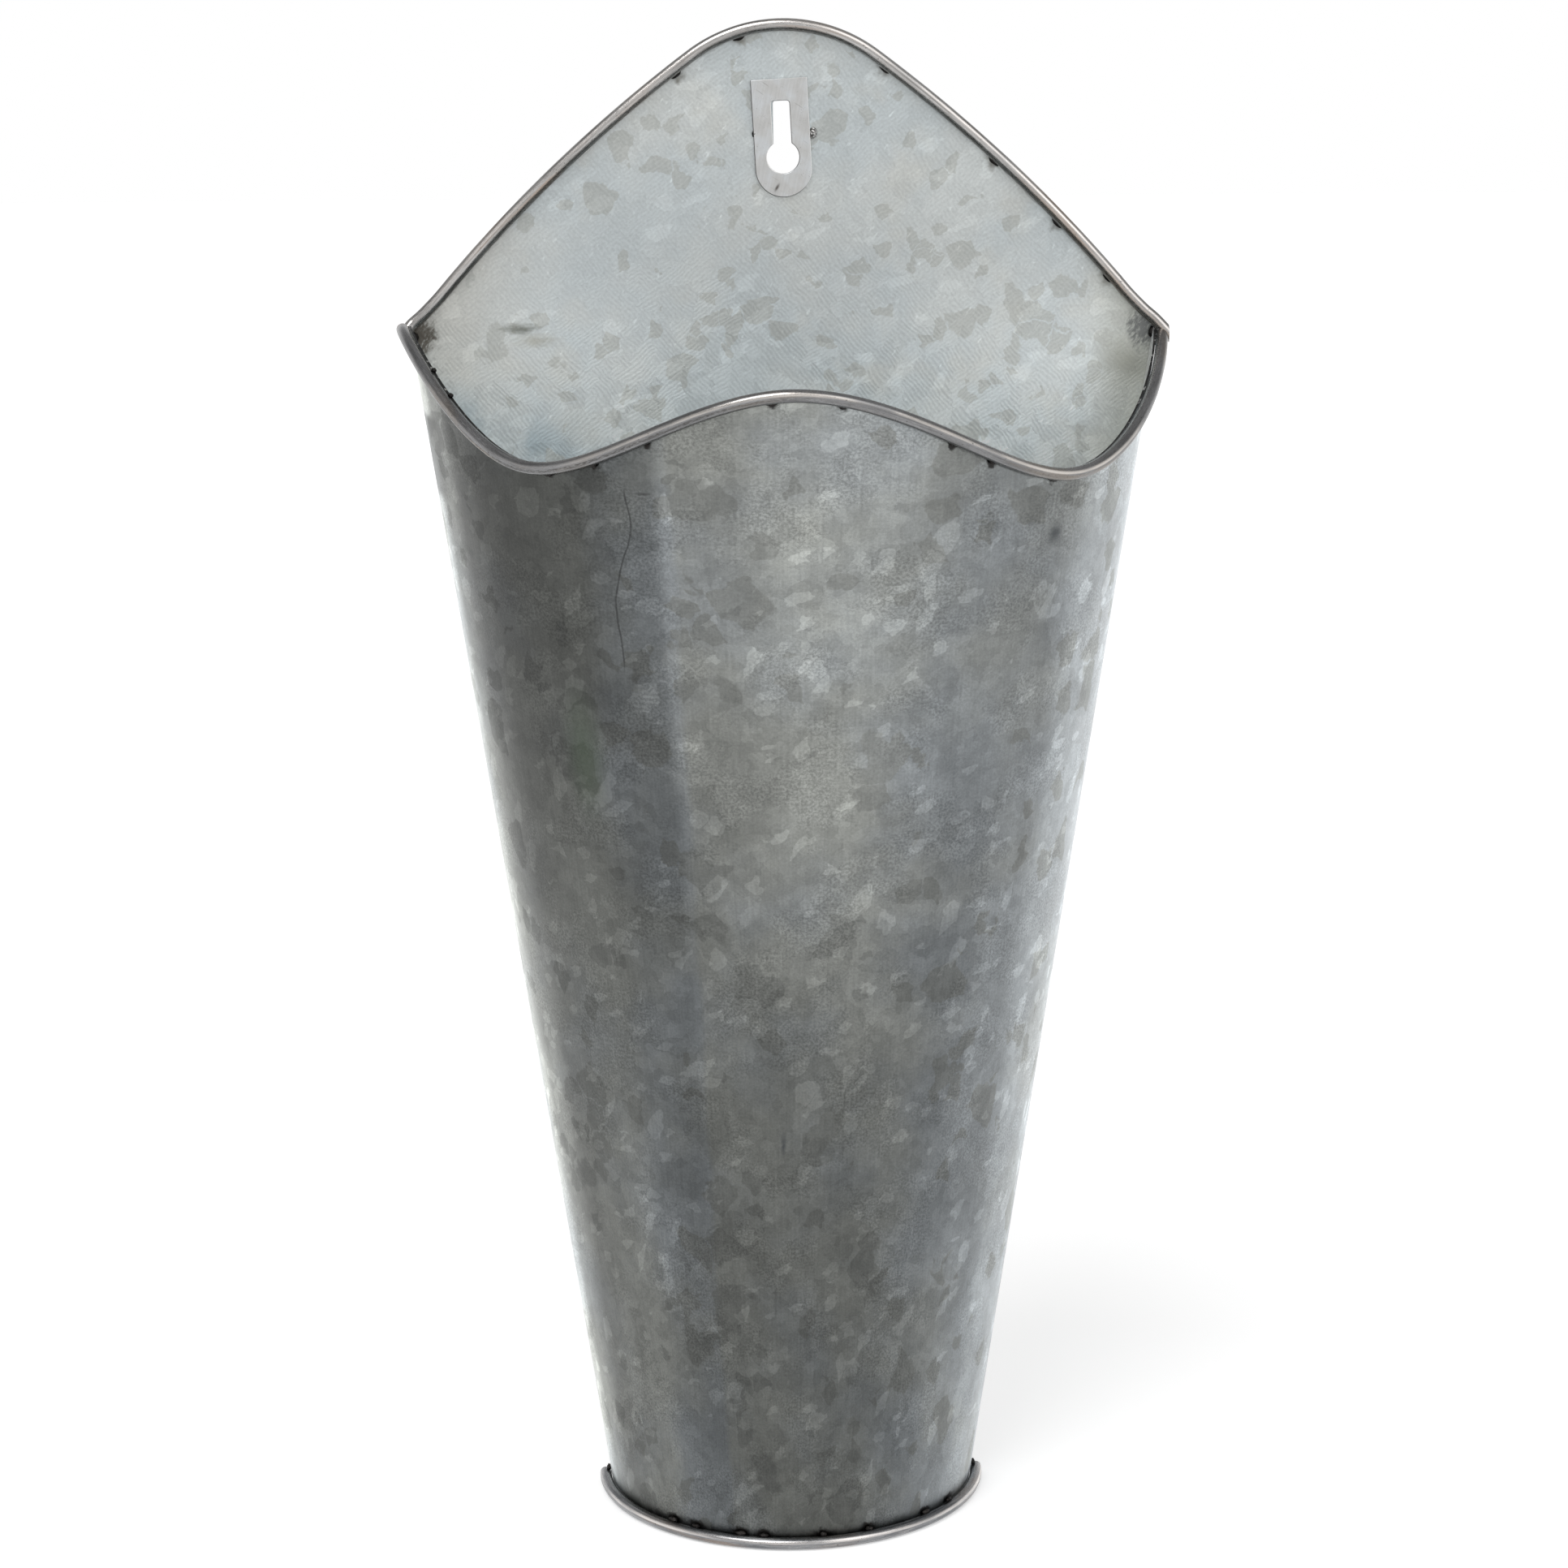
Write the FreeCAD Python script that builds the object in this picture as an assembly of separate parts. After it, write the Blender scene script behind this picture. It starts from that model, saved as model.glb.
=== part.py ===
import FreeCAD, Part
import math
import os

os.makedirs("parts", exist_ok=True)
V = FreeCAD.Vector

# Wall planter: a tapered half-cone of galvanised sheet closed by a flat back panel with an
# arched top, stiffened along its three edges by welded round wire, and hung by a keyhole.
# X is to the viewer's right, the wall is the plane y = 0 and the front faces -Y. The pieces
# are drawn with the base at z = 0 and are written with the keyhole's centre at the origin.

# Driving sizes, in millimetres and degrees.
sheet_thickness = 0.6
wire_diameter = 3.3
seat_gap = 0.05              # between a wire and the sheet that its tack welds hold it to

corner_height = 318.0        # where the front rim meets the arch
corner_half_width = 97.0     # the half-cone's outer radius at the corners' height
base_radius = 49.5           # the half-cone's outer radius at its lower edge

crest_height = 311.5         # the front rim's wire, at the middle of the front
left_trough_height = 291.5
left_trough_angle = 42.0     # round the shell from the middle of the front
left_corner_slope = -0.6     # rise of the rim per degree where it reaches the corner
right_trough_height = 288.0
right_trough_angle = 48.0
right_corner_slope = 0.9
sheet_above_wire = 0.9       # the shell's top edge stands this far above the wire's centre

arch_height = 396.0          # top of the arch, at the wire's centre
apex_radius = 40.0           # of the arch wire's centre line
shoulder_radius = 390.0      # of the arch wire's centre line
panel_edge_inset = 0.3       # the panel's edge lies this far inside the arch wire's outline

floor_clearance = 0.1        # between the floor plate and the shell round it

keyhole_drop = 33.6          # from the top of the arch down to the round hole's centre
keyhole_radius = 4.2
slot_width = 4.8
slot_reach = 14.4            # from the round hole's centre to the top of the slot
slot_corner_radius = 0.8
panel_slot_tilt = 0.6        # leftward, of the slot that is punched in the panel
hanger_width = 14.6
hanger_above_hole = 20.0     # from the round hole's centre to the plate's top edge
hanger_below_hole = 10.2     # from the round hole's centre to the plate's rounded end
hanger_thickness = 1.0
hanger_tilt = 3.0            # leftward, of the hanger plate and its own slot

tack_radius = 1.4
tack_spread = 0.25           # from the wire's edge to a bead's centre, as a share of the bead's radius
tack_stand = 0.33            # from the sheet's face to a bead's centre, as a share of the bead's radius
corner_weld_radius = 2.2
corner_weld_drop = 2.4       # from the corner's height to the bead's centre
hanger_tack_radius = 1.0
hanger_tack_height = 6.1     # above the round hole's centre

# Tack welds: angles round the shell from the middle of the front, negative to the left,
# and, on the arch, distances from the middle of the panel.
front_rim_tack_angles = [-39.5, -30.9, -22.0, -3.2, 6.8, 23.9, 30.9, 43.9]
base_rim_tack_angles = [-40.2, -31.7, -16.9, -9.7, 8.3, 22.9, 44.6, 56.7]
arch_tack_offsets = [-28.4, -11.6, 27.2, 55.6, 72.1, 85.4]

# How the curves round the shell are drawn, in degrees from the middle of the front.
side_angle = 90.0            # the shell's two straight edges
past_side = 2.5              # a wire is drawn this far past them, before it is cut flush
direction_step = 1.0         # each way from a point, to find which way a curve runs there
curve_steps = 18             # pairs of arcs, or spans, in a curve round the shell

# Worked out from the driving sizes.
wire_radius = wire_diameter / 2.0
lean = math.atan((corner_half_width - base_radius) / corner_height)
sheet_across = sheet_thickness / math.cos(lean)
wire_outset = (wire_radius + seat_gap) / math.cos(lean)
tack_clearance = 2.0 * seat_gap      # between a bead and the wire beside it
panel_front = -sheet_thickness
arch_wire_y = panel_front - seat_gap - wire_radius
keyhole_height = arch_height - keyhole_drop


def shell_point(angle, height, outset=0.0):
    """A point on the shell's outer face, or level with it and outset from it, at an angle round the front."""
    a = math.radians(angle)
    radius = base_radius + height * math.tan(lean) + outset
    return V(radius * math.sin(a), panel_front - radius * math.cos(a), height)


def rim_height(angle):
    """Height of the front rim's wire: crest, trough and corner, joined by smooth cubics."""
    if angle < 0.0:
        trough, trough_angle, slope = left_trough_height, left_trough_angle, left_corner_slope
    else:
        trough, trough_angle, slope = right_trough_height, right_trough_angle, right_corner_slope
    turn = abs(angle)
    if turn <= trough_angle:
        t = turn / trough_angle
        return crest_height + (trough - crest_height) * t * t * (3.0 - 2.0 * t)
    span = side_angle - trough_angle
    t = (turn - trough_angle) / span
    rise = (corner_height - trough) * t * t * (3.0 - 2.0 * t)
    return trough + rise + slope * span * t * t * (t - 1.0)


def angles_round_shell():
    """Evenly spaced angles from just past one side to just past the other."""
    reach = side_angle + past_side
    return [reach * (2.0 * i / curve_steps - 1.0) for i in range(curve_steps + 1)]


def direction_round_shell(height_at, angle, outset):
    """Which way a curve round the shell runs at an angle."""
    ahead = shell_point(angle + direction_step, height_at(angle + direction_step), outset)
    behind = shell_point(angle - direction_step, height_at(angle - direction_step), outset)
    return (ahead - behind).normalize()


def arc_towards(start, direction, end):
    """The arc that leaves one point in a given direction and ends at another."""
    chord = end - start
    along = V(chord).normalize()
    across = (direction - along * direction.dot(along)).normalize()
    sag = 0.5 * chord.Length * math.tan(0.5 * direction.getAngle(chord))
    return Part.Arc(start, start + chord * 0.5 + across * sag, end).toShape()


def arc_pair(start, leaving, end, arriving):
    """Two arcs that touch each other, from one point and direction to the next."""
    chord = end - start
    forward = chord.dot(leaving + arriving)
    bend = 2.0 * (1.0 - leaving.dot(arriving))
    reach = chord.dot(chord) / (forward + math.sqrt(forward ** 2 + bend * chord.dot(chord)))
    joint = (start + end + (leaving - arriving) * reach) * 0.5
    through = (end - arriving * reach) - (start + leaving * reach)
    return [arc_towards(start, leaving, joint), arc_towards(joint, through.normalize(), end)]


def arcs_round_shell(height_at, outset):
    """A path of tangent arcs for a wire bent round the shell."""
    angles = angles_round_shell()
    points = [shell_point(angle, height_at(angle), outset) for angle in angles]
    directions = [direction_round_shell(height_at, angle, outset) for angle in angles]
    edges = []
    for i in range(curve_steps):
        edges += arc_pair(points[i], directions[i], points[i + 1], directions[i + 1])
    return Part.Wire(edges)


def round_wire(path):
    """A round bar along a path."""
    edge = path.Edges[0]
    start = edge.valueAt(edge.FirstParameter)
    direction = edge.tangentAt(edge.FirstParameter)
    disc = Part.Face(Part.Wire(Part.makeCircle(wire_radius, start, direction)))
    return path.makePipe(disc)


def behind_wall():
    """The space behind the plane of the wall, round the whole planter."""
    reach = 2.0 * (arch_height + corner_half_width)
    return Part.makeBox(reach, reach, reach, V(-reach / 2.0, 0.0, -reach / 4.0))


def largest(shape):
    """The largest solid of a shape, without the offcuts of a cut."""
    return max(shape.Solids, key=lambda solid: solid.Volume)


def prism(outline, y_back, thickness):
    """A plate standing in the plane y = y_back, with its thickness towards the front."""
    face = Part.Face(outline)
    face.translate(V(0.0, y_back, 0.0))
    return face.extrude(V(0.0, -thickness, 0.0))


def above_rim():
    """All the space above the shell's wavy top edge."""
    reach = (corner_half_width - base_radius) / 2.0
    edges = []
    for outset in (-reach, reach):
        points = [shell_point(angle, rim_height(angle) + sheet_above_wire, outset)
                  for angle in angles_round_shell()]
        curve = Part.BSplineCurve()
        curve.interpolate(Points=points)
        edges.append(curve.toShape())
    return Part.makeRuledSurface(edges[0], edges[1]).extrude(V(0.0, 0.0, arch_height))


def make_front_shell():
    """The half-cone: a leaning strip of sheet turned through half a circle, then trimmed along its top."""
    height = corner_height + wire_diameter
    flare = height * math.tan(lean)
    outer_low = V(base_radius, panel_front, 0.0)
    outer_high = V(base_radius + flare, panel_front, height)
    across = V(sheet_across, 0.0, 0.0)
    strip = Part.Face(Part.makePolygon([outer_low, outer_high, outer_high - across, outer_low - across, outer_low]))
    cone = strip.revolve(V(0.0, panel_front, 0.0), V(0.0, 0.0, -1.0), 2.0 * side_angle)
    shell = largest(cone.cut(above_rim()))
    for side in (-1.0, 1.0):
        shell = largest(shell.cut(corner_notch(side)))
    return shell


def arch_joint():
    """Angle from upright, and centre of the right shoulder's arc, where the arch's arcs meet."""
    gap = shoulder_radius - apex_radius
    apex_centre = arch_height - apex_radius
    rise = corner_height - apex_centre
    # The shoulder's centre lies on a circle about the apex's centre and one about the corner.
    reach = math.hypot(corner_half_width, rise)
    bearing = math.atan2(corner_half_width, rise)
    cosine = (gap ** 2 + reach ** 2 - shoulder_radius ** 2) / (2.0 * gap * reach)
    turn = bearing + math.acos(cosine) - math.pi
    return turn, V(-gap * math.sin(turn), 0.0, apex_centre - gap * math.cos(turn))


def arch_point(angle, outset):
    """A point of the right half of the arch, at an angle from upright, in radians."""
    turn, centre = arch_joint()
    radius = shoulder_radius
    if angle <= turn:
        centre = V(0.0, 0.0, arch_height - apex_radius)
        radius = apex_radius
    return centre + V(math.sin(angle), 0.0, math.cos(angle)) * (radius + outset)


def arch_angle_at(offset):
    """Angle from upright at which the arch is a given distance from the middle."""
    turn, centre = arch_joint()
    apex_half_width = apex_radius * math.sin(turn)
    if offset <= apex_half_width:
        return math.asin(offset / apex_radius)
    return math.asin((offset - centre.x) / shoulder_radius)


def arch_edges(outset, end_angle):
    """The arch as three tangent arcs, from its left end to its right end."""
    turn = arch_joint()[0]
    stops = [end_angle, (end_angle + turn) / 2.0, turn]
    right = [arch_point(turn, outset), arch_point(stops[1], outset), arch_point(end_angle, outset)]
    left = [V(-point.x, 0.0, point.z) for point in reversed(right)]
    top = V(0.0, 0.0, arch_height + outset)
    return [Part.Arc(*left).toShape(), Part.Arc(left[2], top, right[0]).toShape(), Part.Arc(*right).toShape()]


def keyhole(tilt, y_back, thickness):
    """The punched hole: a round entry with a slot above it, tilted about the entry's centre."""
    entry = Part.makeCylinder(keyhole_radius, thickness, V(0.0, y_back, 0.0), V(0.0, -1.0, 0.0))
    slot = Part.makeBox(slot_width, thickness, slot_reach, V(-slot_width / 2.0, y_back - thickness, 0.0))
    top_edges = [edge for edge in slot.Edges
                 if abs(edge.CenterOfMass.z - slot_reach) < 1e-6 and abs(edge.Length - thickness) < 1e-6]
    hole = entry.fuse(slot.makeFillet(slot_corner_radius, top_edges))
    hole.rotate(V(0.0, 0.0, 0.0), V(0.0, 1.0, 0.0), -tilt)
    hole.translate(V(0.0, 0.0, keyhole_height))
    return hole


def make_back_panel():
    edge_outset = wire_radius - panel_edge_inset
    past_end = arch_angle_at(corner_half_width + 2.0 * wire_diameter)
    arch = arch_edges(edge_outset, past_end)
    left_end = arch[0].Vertexes[0].Point
    right_end = arch[2].Vertexes[-1].Point
    lower_left = V(left_end.x, 0.0, -wire_diameter)
    lower_right = V(right_end.x, 0.0, -wire_diameter)
    sides = [Part.makeLine(right_end, lower_right), Part.makeLine(lower_right, lower_left),
             Part.makeLine(lower_left, left_end)]
    arched = prism(Part.Wire(arch + sides), 0.0, sheet_thickness)

    top_half_width = base_radius + arch_height * math.tan(lean)
    taper = Part.makePolygon([V(-base_radius, 0.0, 0.0), V(base_radius, 0.0, 0.0),
                              V(top_half_width, 0.0, arch_height), V(top_half_width, 0.0, 2.0 * arch_height),
                              V(-top_half_width, 0.0, 2.0 * arch_height), V(-top_half_width, 0.0, arch_height),
                              V(-base_radius, 0.0, 0.0)])
    tapered = prism(taper, 0.0, sheet_thickness)
    return largest(arched.common(tapered).cut(keyhole(panel_slot_tilt, 0.0, sheet_thickness)))


def make_front_rim_wire():
    return largest(round_wire(arcs_round_shell(rim_height, wire_outset)).cut(behind_wall()))


def base_wire_height(angle):
    """The base wire's centre: it lies level, flush with the shell's lower edge."""
    return wire_radius


def make_base_rim_wire():
    reach = side_angle + past_side
    points = [shell_point(angle, wire_radius, wire_outset) for angle in (-reach, 0.0, reach)]
    path = Part.Wire(Part.Arc(*points).toShape())
    return largest(round_wire(path).cut(behind_wall()))


def make_arch_wire():
    """The arch wire lies on the panel, drawn to just past the corners."""
    end_angle = arch_angle_at(corner_half_width + wire_outset)
    path = Part.Wire(arch_edges(0.0, end_angle))
    path.translate(V(0.0, arch_wire_y, 0.0))
    return round_wire(path)


def make_back_rim_wire(front_rim_wire):
    """The arch wire with its ends coped over the front rim's ends."""
    return largest(make_arch_wire().cut(front_rim_wire))


def make_floor_plate():
    """The floor is a half-disc inside the shell's lower edge, square against the panel."""
    radius = base_radius - sheet_across - floor_clearance
    left = V(-radius, panel_front, 0.0)
    right = V(radius, panel_front, 0.0)
    round_edge = Part.Arc(left, V(0.0, panel_front - radius, 0.0), right).toShape()
    outline = Part.Wire([round_edge, Part.makeLine(right, left)])
    return Part.Face(outline).extrude(V(0.0, 0.0, sheet_thickness))


def make_hanger_plate():
    """The keyhole plate lies on the panel's front face, round at its lower end."""
    half = hanger_width / 2.0
    round_centre = half - hanger_below_hole
    top_left = V(-half, 0.0, hanger_above_hole)
    top_right = V(half, 0.0, hanger_above_hole)
    low_left = V(-half, 0.0, round_centre)
    low_right = V(half, 0.0, round_centre)
    round_end = Part.Arc(low_right, V(0.0, 0.0, -hanger_below_hole), low_left).toShape()
    outline = Part.Wire([Part.makeLine(low_left, top_left), Part.makeLine(top_left, top_right),
                         Part.makeLine(top_right, low_right), round_end])
    plate = prism(outline, panel_front, hanger_thickness)
    plate.rotate(V(0.0, 0.0, 0.0), V(0.0, 1.0, 0.0), -hanger_tilt)
    plate.translate(V(0.0, 0.0, keyhole_height))
    return largest(plate.cut(keyhole(hanger_tilt, panel_front, hanger_thickness)))


def shell_normal(angle):
    """The outward direction of the shell's outer face."""
    a = math.radians(angle)
    return V(math.sin(a) * math.cos(lean), -math.cos(a) * math.cos(lean), -math.sin(lean))


def behind_face(point, normal):
    """A block on the solid side of a flat face, large enough to trim a weld bead."""
    size = 4.0 * corner_weld_radius
    block = Part.makeBox(size, size, size, V(-size / 2.0, -size / 2.0, -size))
    block.Placement = FreeCAD.Placement(point, FreeCAD.Rotation(V(0.0, 0.0, 1.0), normal))
    return block


def bar_through(point, along, clearance):
    """A short straight length of wire, to trim what meets it."""
    reach = 2.0 * corner_weld_radius
    axis = V(along).normalize()
    return Part.makeCylinder(wire_radius + clearance, 2.0 * reach, point - axis * reach, axis)


def weld_bead(centre, radius, trims):
    """A round bead, cut back to the faces of the pieces that it joins."""
    bead = Part.makeSphere(radius, centre)
    for trim in trims:
        bead = bead.cut(trim)
    return largest(bead)


def tack_bead(face_point, normal, wire_point, along):
    """A rounded bead that stands on a face, cut back beside the wire that it holds."""
    low = -math.degrees(math.asin(tack_stand))
    bead = Part.makeSphere(tack_radius, V(0.0, 0.0, tack_radius * tack_stand), V(0.0, 0.0, 1.0), low, 90.0, 360.0)
    away = face_point - wire_point
    turn = FreeCAD.Rotation(away, normal.cross(away), normal, "ZXY")
    bead.Placement = FreeCAD.Placement(face_point, turn)
    return largest(bead.cut(bar_through(wire_point, along, tack_clearance)))


def tack_on_shell(angle, height_at, side):
    """A bead in the crook between the shell and a wire round it, above (1) or below (-1) the wire."""
    wire_height = height_at(angle)
    face_point = shell_point(angle, wire_height + side * (wire_radius + tack_radius * tack_spread))
    wire_point = shell_point(angle, wire_height, wire_outset)
    along = direction_round_shell(height_at, angle, wire_outset)
    return tack_bead(face_point, shell_normal(angle), wire_point, along)


def make_front_rim_tacks():
    beads = [tack_on_shell(angle, rim_height, -1.0) for angle in front_rim_tack_angles]
    return Part.makeCompound(beads)


def make_base_rim_tacks():
    """Along the wire's upper side, and at its two ends."""
    end_angle = side_angle - math.degrees(tack_radius / base_radius)
    angles = base_rim_tack_angles + [-end_angle, end_angle]
    beads = [tack_on_shell(angle, base_wire_height, 1.0) for angle in angles]
    return Part.makeCompound(beads)


def arch_wire_at(offset):
    """The arch wire's centre, and which way it runs, at a distance from the middle of the panel."""
    angle = arch_angle_at(abs(offset))
    point = arch_point(angle, 0.0)
    side = math.copysign(1.0, offset)
    return V(side * point.x, arch_wire_y, point.z), V(side * math.cos(angle), 0.0, -math.sin(angle))


def corner_notch(side):
    """The room for the arch wire's end in the shell's top corner, open towards the back."""
    bar = bar_through(*arch_wire_at(side * corner_half_width), seat_gap)
    return bar.fuse(bar.translated(V(0.0, panel_front - arch_wire_y, 0.0)))


def make_back_rim_tacks():
    """In the crook under the arch wire, on the panel's front face."""
    beads = []
    for offset in arch_tack_offsets:
        wire_point, along = arch_wire_at(offset)
        crook = arch_point(arch_angle_at(abs(offset)), -wire_radius - tack_radius * tack_spread)
        face_point = V(math.copysign(crook.x, offset), panel_front, crook.z)
        beads.append(tack_bead(face_point, V(0.0, -1.0, 0.0), wire_point, along))
    return Part.makeCompound(beads)


def make_corner_welds():
    """In the crook of each corner, where arch wire, panel and shell come together."""
    beads = []
    height = corner_height - corner_weld_drop
    arch_wire = make_arch_wire()
    for side in (-1.0, 1.0):
        inner_point = shell_point(side * side_angle, height, -sheet_across)
        centre = V(inner_point.x - side * corner_weld_radius / 2.0, panel_front - wire_radius / 2.0, height)
        trims = [behind_face(inner_point, -shell_normal(side * side_angle)),
                 behind_face(V(centre.x, panel_front, height), V(0.0, -1.0, 0.0)), arch_wire]
        beads.append(weld_bead(centre, corner_weld_radius, trims))
    return Part.makeCompound(beads)


def make_hanger_tacks(hanger_plate):
    """On both long edges of the hanger plate."""
    tilt = FreeCAD.Rotation(V(0.0, 1.0, 0.0), -hanger_tilt)
    beads = []
    for side in (-1.0, 1.0):
        edge_point = V(side * hanger_width / 2.0, panel_front, hanger_tack_height)
        edge_point = tilt.multVec(edge_point) + V(0.0, 0.0, keyhole_height)
        trims = [behind_face(edge_point, V(0.0, -1.0, 0.0)), hanger_plate]
        beads.append(weld_bead(edge_point + V(0.0, -hanger_thickness / 2.0, 0.0), hanger_tack_radius, trims))
    return Part.makeCompound(beads)


front_shell = make_front_shell()
back_panel = make_back_panel()
front_rim_wire = make_front_rim_wire()
back_rim_wire = make_back_rim_wire(front_rim_wire)
base_rim_wire = make_base_rim_wire()
floor_plate = make_floor_plate()
hanger_plate = make_hanger_plate()
front_rim_tacks = make_front_rim_tacks()
back_rim_tacks = make_back_rim_tacks()
base_rim_tacks = make_base_rim_tacks()
corner_welds = make_corner_welds()
hanger_tacks = make_hanger_tacks(hanger_plate)

nodes = {
    "front_shell": front_shell,
    "back_panel": back_panel,
    "floor_plate": floor_plate,
    "front_rim_wire": front_rim_wire,
    "back_rim_wire": back_rim_wire,
    "base_rim_wire": base_rim_wire,
    "hanger_plate": hanger_plate,
    "front_rim_tacks": front_rim_tacks,
    "back_rim_tacks": back_rim_tacks,
    "base_rim_tacks": base_rim_tacks,
    "corner_welds": corner_welds,
    "hanger_tacks": hanger_tacks,
}

for name, shape in nodes.items():
    shape.translate(V(0.0, 0.0, -keyhole_height))
    shape.exportStep("parts/" + name + ".step")
    print(name, "solids", len(shape.Solids), "valid", shape.isValid(), "volume %.1f" % shape.Volume)
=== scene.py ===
import math
import random

import bmesh
import bpy
from mathutils import Matrix, Vector, noise


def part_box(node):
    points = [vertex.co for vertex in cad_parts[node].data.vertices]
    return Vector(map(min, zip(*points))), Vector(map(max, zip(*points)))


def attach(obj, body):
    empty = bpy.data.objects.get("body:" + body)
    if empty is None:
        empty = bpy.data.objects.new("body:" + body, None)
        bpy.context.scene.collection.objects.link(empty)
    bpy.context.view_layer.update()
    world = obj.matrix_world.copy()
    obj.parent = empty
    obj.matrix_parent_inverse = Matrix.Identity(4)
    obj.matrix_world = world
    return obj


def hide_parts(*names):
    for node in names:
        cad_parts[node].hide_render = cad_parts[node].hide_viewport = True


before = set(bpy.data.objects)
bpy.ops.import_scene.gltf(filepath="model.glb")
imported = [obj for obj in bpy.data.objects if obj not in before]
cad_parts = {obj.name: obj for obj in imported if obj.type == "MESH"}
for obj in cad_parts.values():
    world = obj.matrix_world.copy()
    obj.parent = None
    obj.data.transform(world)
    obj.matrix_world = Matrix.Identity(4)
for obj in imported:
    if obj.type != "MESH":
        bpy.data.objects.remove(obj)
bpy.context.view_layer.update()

# The part's own sizes, in metres and degrees. The keyhole's centre is at the origin, the
# wall is the plane y = 0 and the front faces -Y. Heights are above the base.
BASE_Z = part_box("front_shell")[0][2]
SHEET = 0.0006
WIRE = 0.00165                         # the wire's radius
GAP = 0.00005                          # between a wire and the sheet beside it
BASE_RADIUS = 0.0495
CORNER_HEIGHT = 0.318
CORNER_Z = BASE_Z + CORNER_HEIGHT
CORNER_HALF_WIDTH = 0.097
TAN_LEAN = (CORNER_HALF_WIDTH - BASE_RADIUS) / CORNER_HEIGHT
COS_LEAN = math.cos(math.atan(TAN_LEAN))
PANEL_FRONT = -SHEET
WIRE_OUTSET = (WIRE + GAP) / COS_LEAN
ARCH_WIRE_Y = PANEL_FRONT - GAP - WIRE
CREST = 0.3115
LEFT_RIM = (0.2915, 42.0, -0.0006)     # trough height, its angle, and the slope at the corner
RIGHT_RIM = (0.288, 48.0, 0.0009)
SHEET_ABOVE_WIRE = 0.0009
ARCH_HEIGHT = 0.396
APEX_RADIUS = 0.040
SHOULDER_RADIUS = 0.390

# The weld beads: angles round the shell, and distances from the middle of the arch.
FRONT_TACKS = (-39.5, -30.9, -22.0, -3.2, 6.8, 23.9, 30.9, 43.9)
BASE_TACKS = (-88.2, -40.2, -31.7, -16.9, -9.7, 8.3, 22.9, 44.6, 56.7, 88.2)
ARCH_TACKS = (-0.0284, -0.0116, 0.0272, 0.0556, 0.0721, 0.0854)
INNER_TACKS = (-68.4, -62.8)

# How the meshes are drawn.
UNROLL = 0.074                         # radius at which the shell's angle is laid out flat
SHELL_COLUMNS, SHELL_ROWS = 241, 96
RIPPLE_DEPTH, ROLL_DEPTH = 0.00016, 0.00005
WIRE_SIDES = 24
TIP_RINGS = 6
WIRE_FULLNESS = 0.975                  # the dented wire's mean radius, as a share of the true one
DENT_DEPTH = 0.010                     # as a share of the radius
DENTS_ALONG, DENTS_ROUND = 160.0, 0.6  # how closely the dents lie, along the wire and round it
SHARP_TIP, BLUNT_TIP = 0.0004, 0.0008  # how far a wire's rounded tips reach
FRONT_RIM_START, FRONT_RIM_SWEEP, FRONT_RIM_STEPS = -83.75, 176.25, 420
FRONT_RIM_BACK = -0.0042               # y at which the front rim's wire is cut off
BASE_RIM_SHORT, BASE_RIM_STEPS = 0.0009, 240
ARCH_SPAN, ARCH_STEPS = 0.0860, 400    # the part of the arch wire that follows the arch
ARCH_RIGHT_END = 0.1003                # x at which the arch wire is cut square
END_STEPS = 14                         # points between two of those that place a wire's end
BURR = 0.00032                         # how far the keyhole plate's edges are rounded over
BEAD_CLEARANCE = 0.00015               # between a bead's middle and the wire's surface

# Half sizes of the beads: along the seam, out of the sheet and across the seam.
RIM_BEAD = (0.0013, 0.0007, 0.0008)
INNER_BEAD = (0.0010, 0.0006, 0.0006)
ARCH_BEAD = (0.0014, 0.0007, 0.0006)

# Half sizes of the single beads, along X, Y and Z.
CORNER_BEAD = (0.0013, 0.0009, 0.0016)
SEAM_BEAD = (0.0010, 0.0013, 0.0014)
HANGER_DARK_BEAD = (0.0007, 0.0006, 0.0010)
HANGER_PALE_BEAD = (0.0010, 0.0007, 0.0014)

X_WAY = Vector((1.0, 0.0, 0.0))
Y_WAY = Vector((0.0, 1.0, 0.0))
Z_WAY = Vector((0.0, 0.0, 1.0))


# ---------------------------------------------------------------- where things are

def on_shell(angle, height, outset=0.0):
    """A point level with the shell's outer face, at an angle round from the middle of the front."""
    a = math.radians(angle)
    radius = BASE_RADIUS + height * TAN_LEAN + outset
    return Vector((radius * math.sin(a), PANEL_FRONT - radius * math.cos(a), BASE_Z + height))


def shell_outward(angle):
    """The way straight out of the shell's face."""
    a = math.radians(angle)
    return Vector((math.sin(a), -math.cos(a), -TAN_LEAN)).normalized()


def rim_height(angle):
    """Height of the front rim's wire: crest, trough and corner, joined by smooth cubics."""
    trough, trough_angle, slope = LEFT_RIM if angle < 0.0 else RIGHT_RIM
    turn = abs(angle)
    if turn <= trough_angle:
        t = turn / trough_angle
        return CREST + (trough - CREST) * t * t * (3.0 - 2.0 * t)
    span = 90.0 - trough_angle
    t = (turn - trough_angle) / span
    return (trough + (CORNER_HEIGHT - trough) * t * t * (3.0 - 2.0 * t)
            + slope * span * t * t * (t - 1.0))


def on_front_rim(angle):
    """A point of the front rim wire's centre line."""
    return on_shell(angle, rim_height(angle), WIRE_OUTSET)


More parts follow.
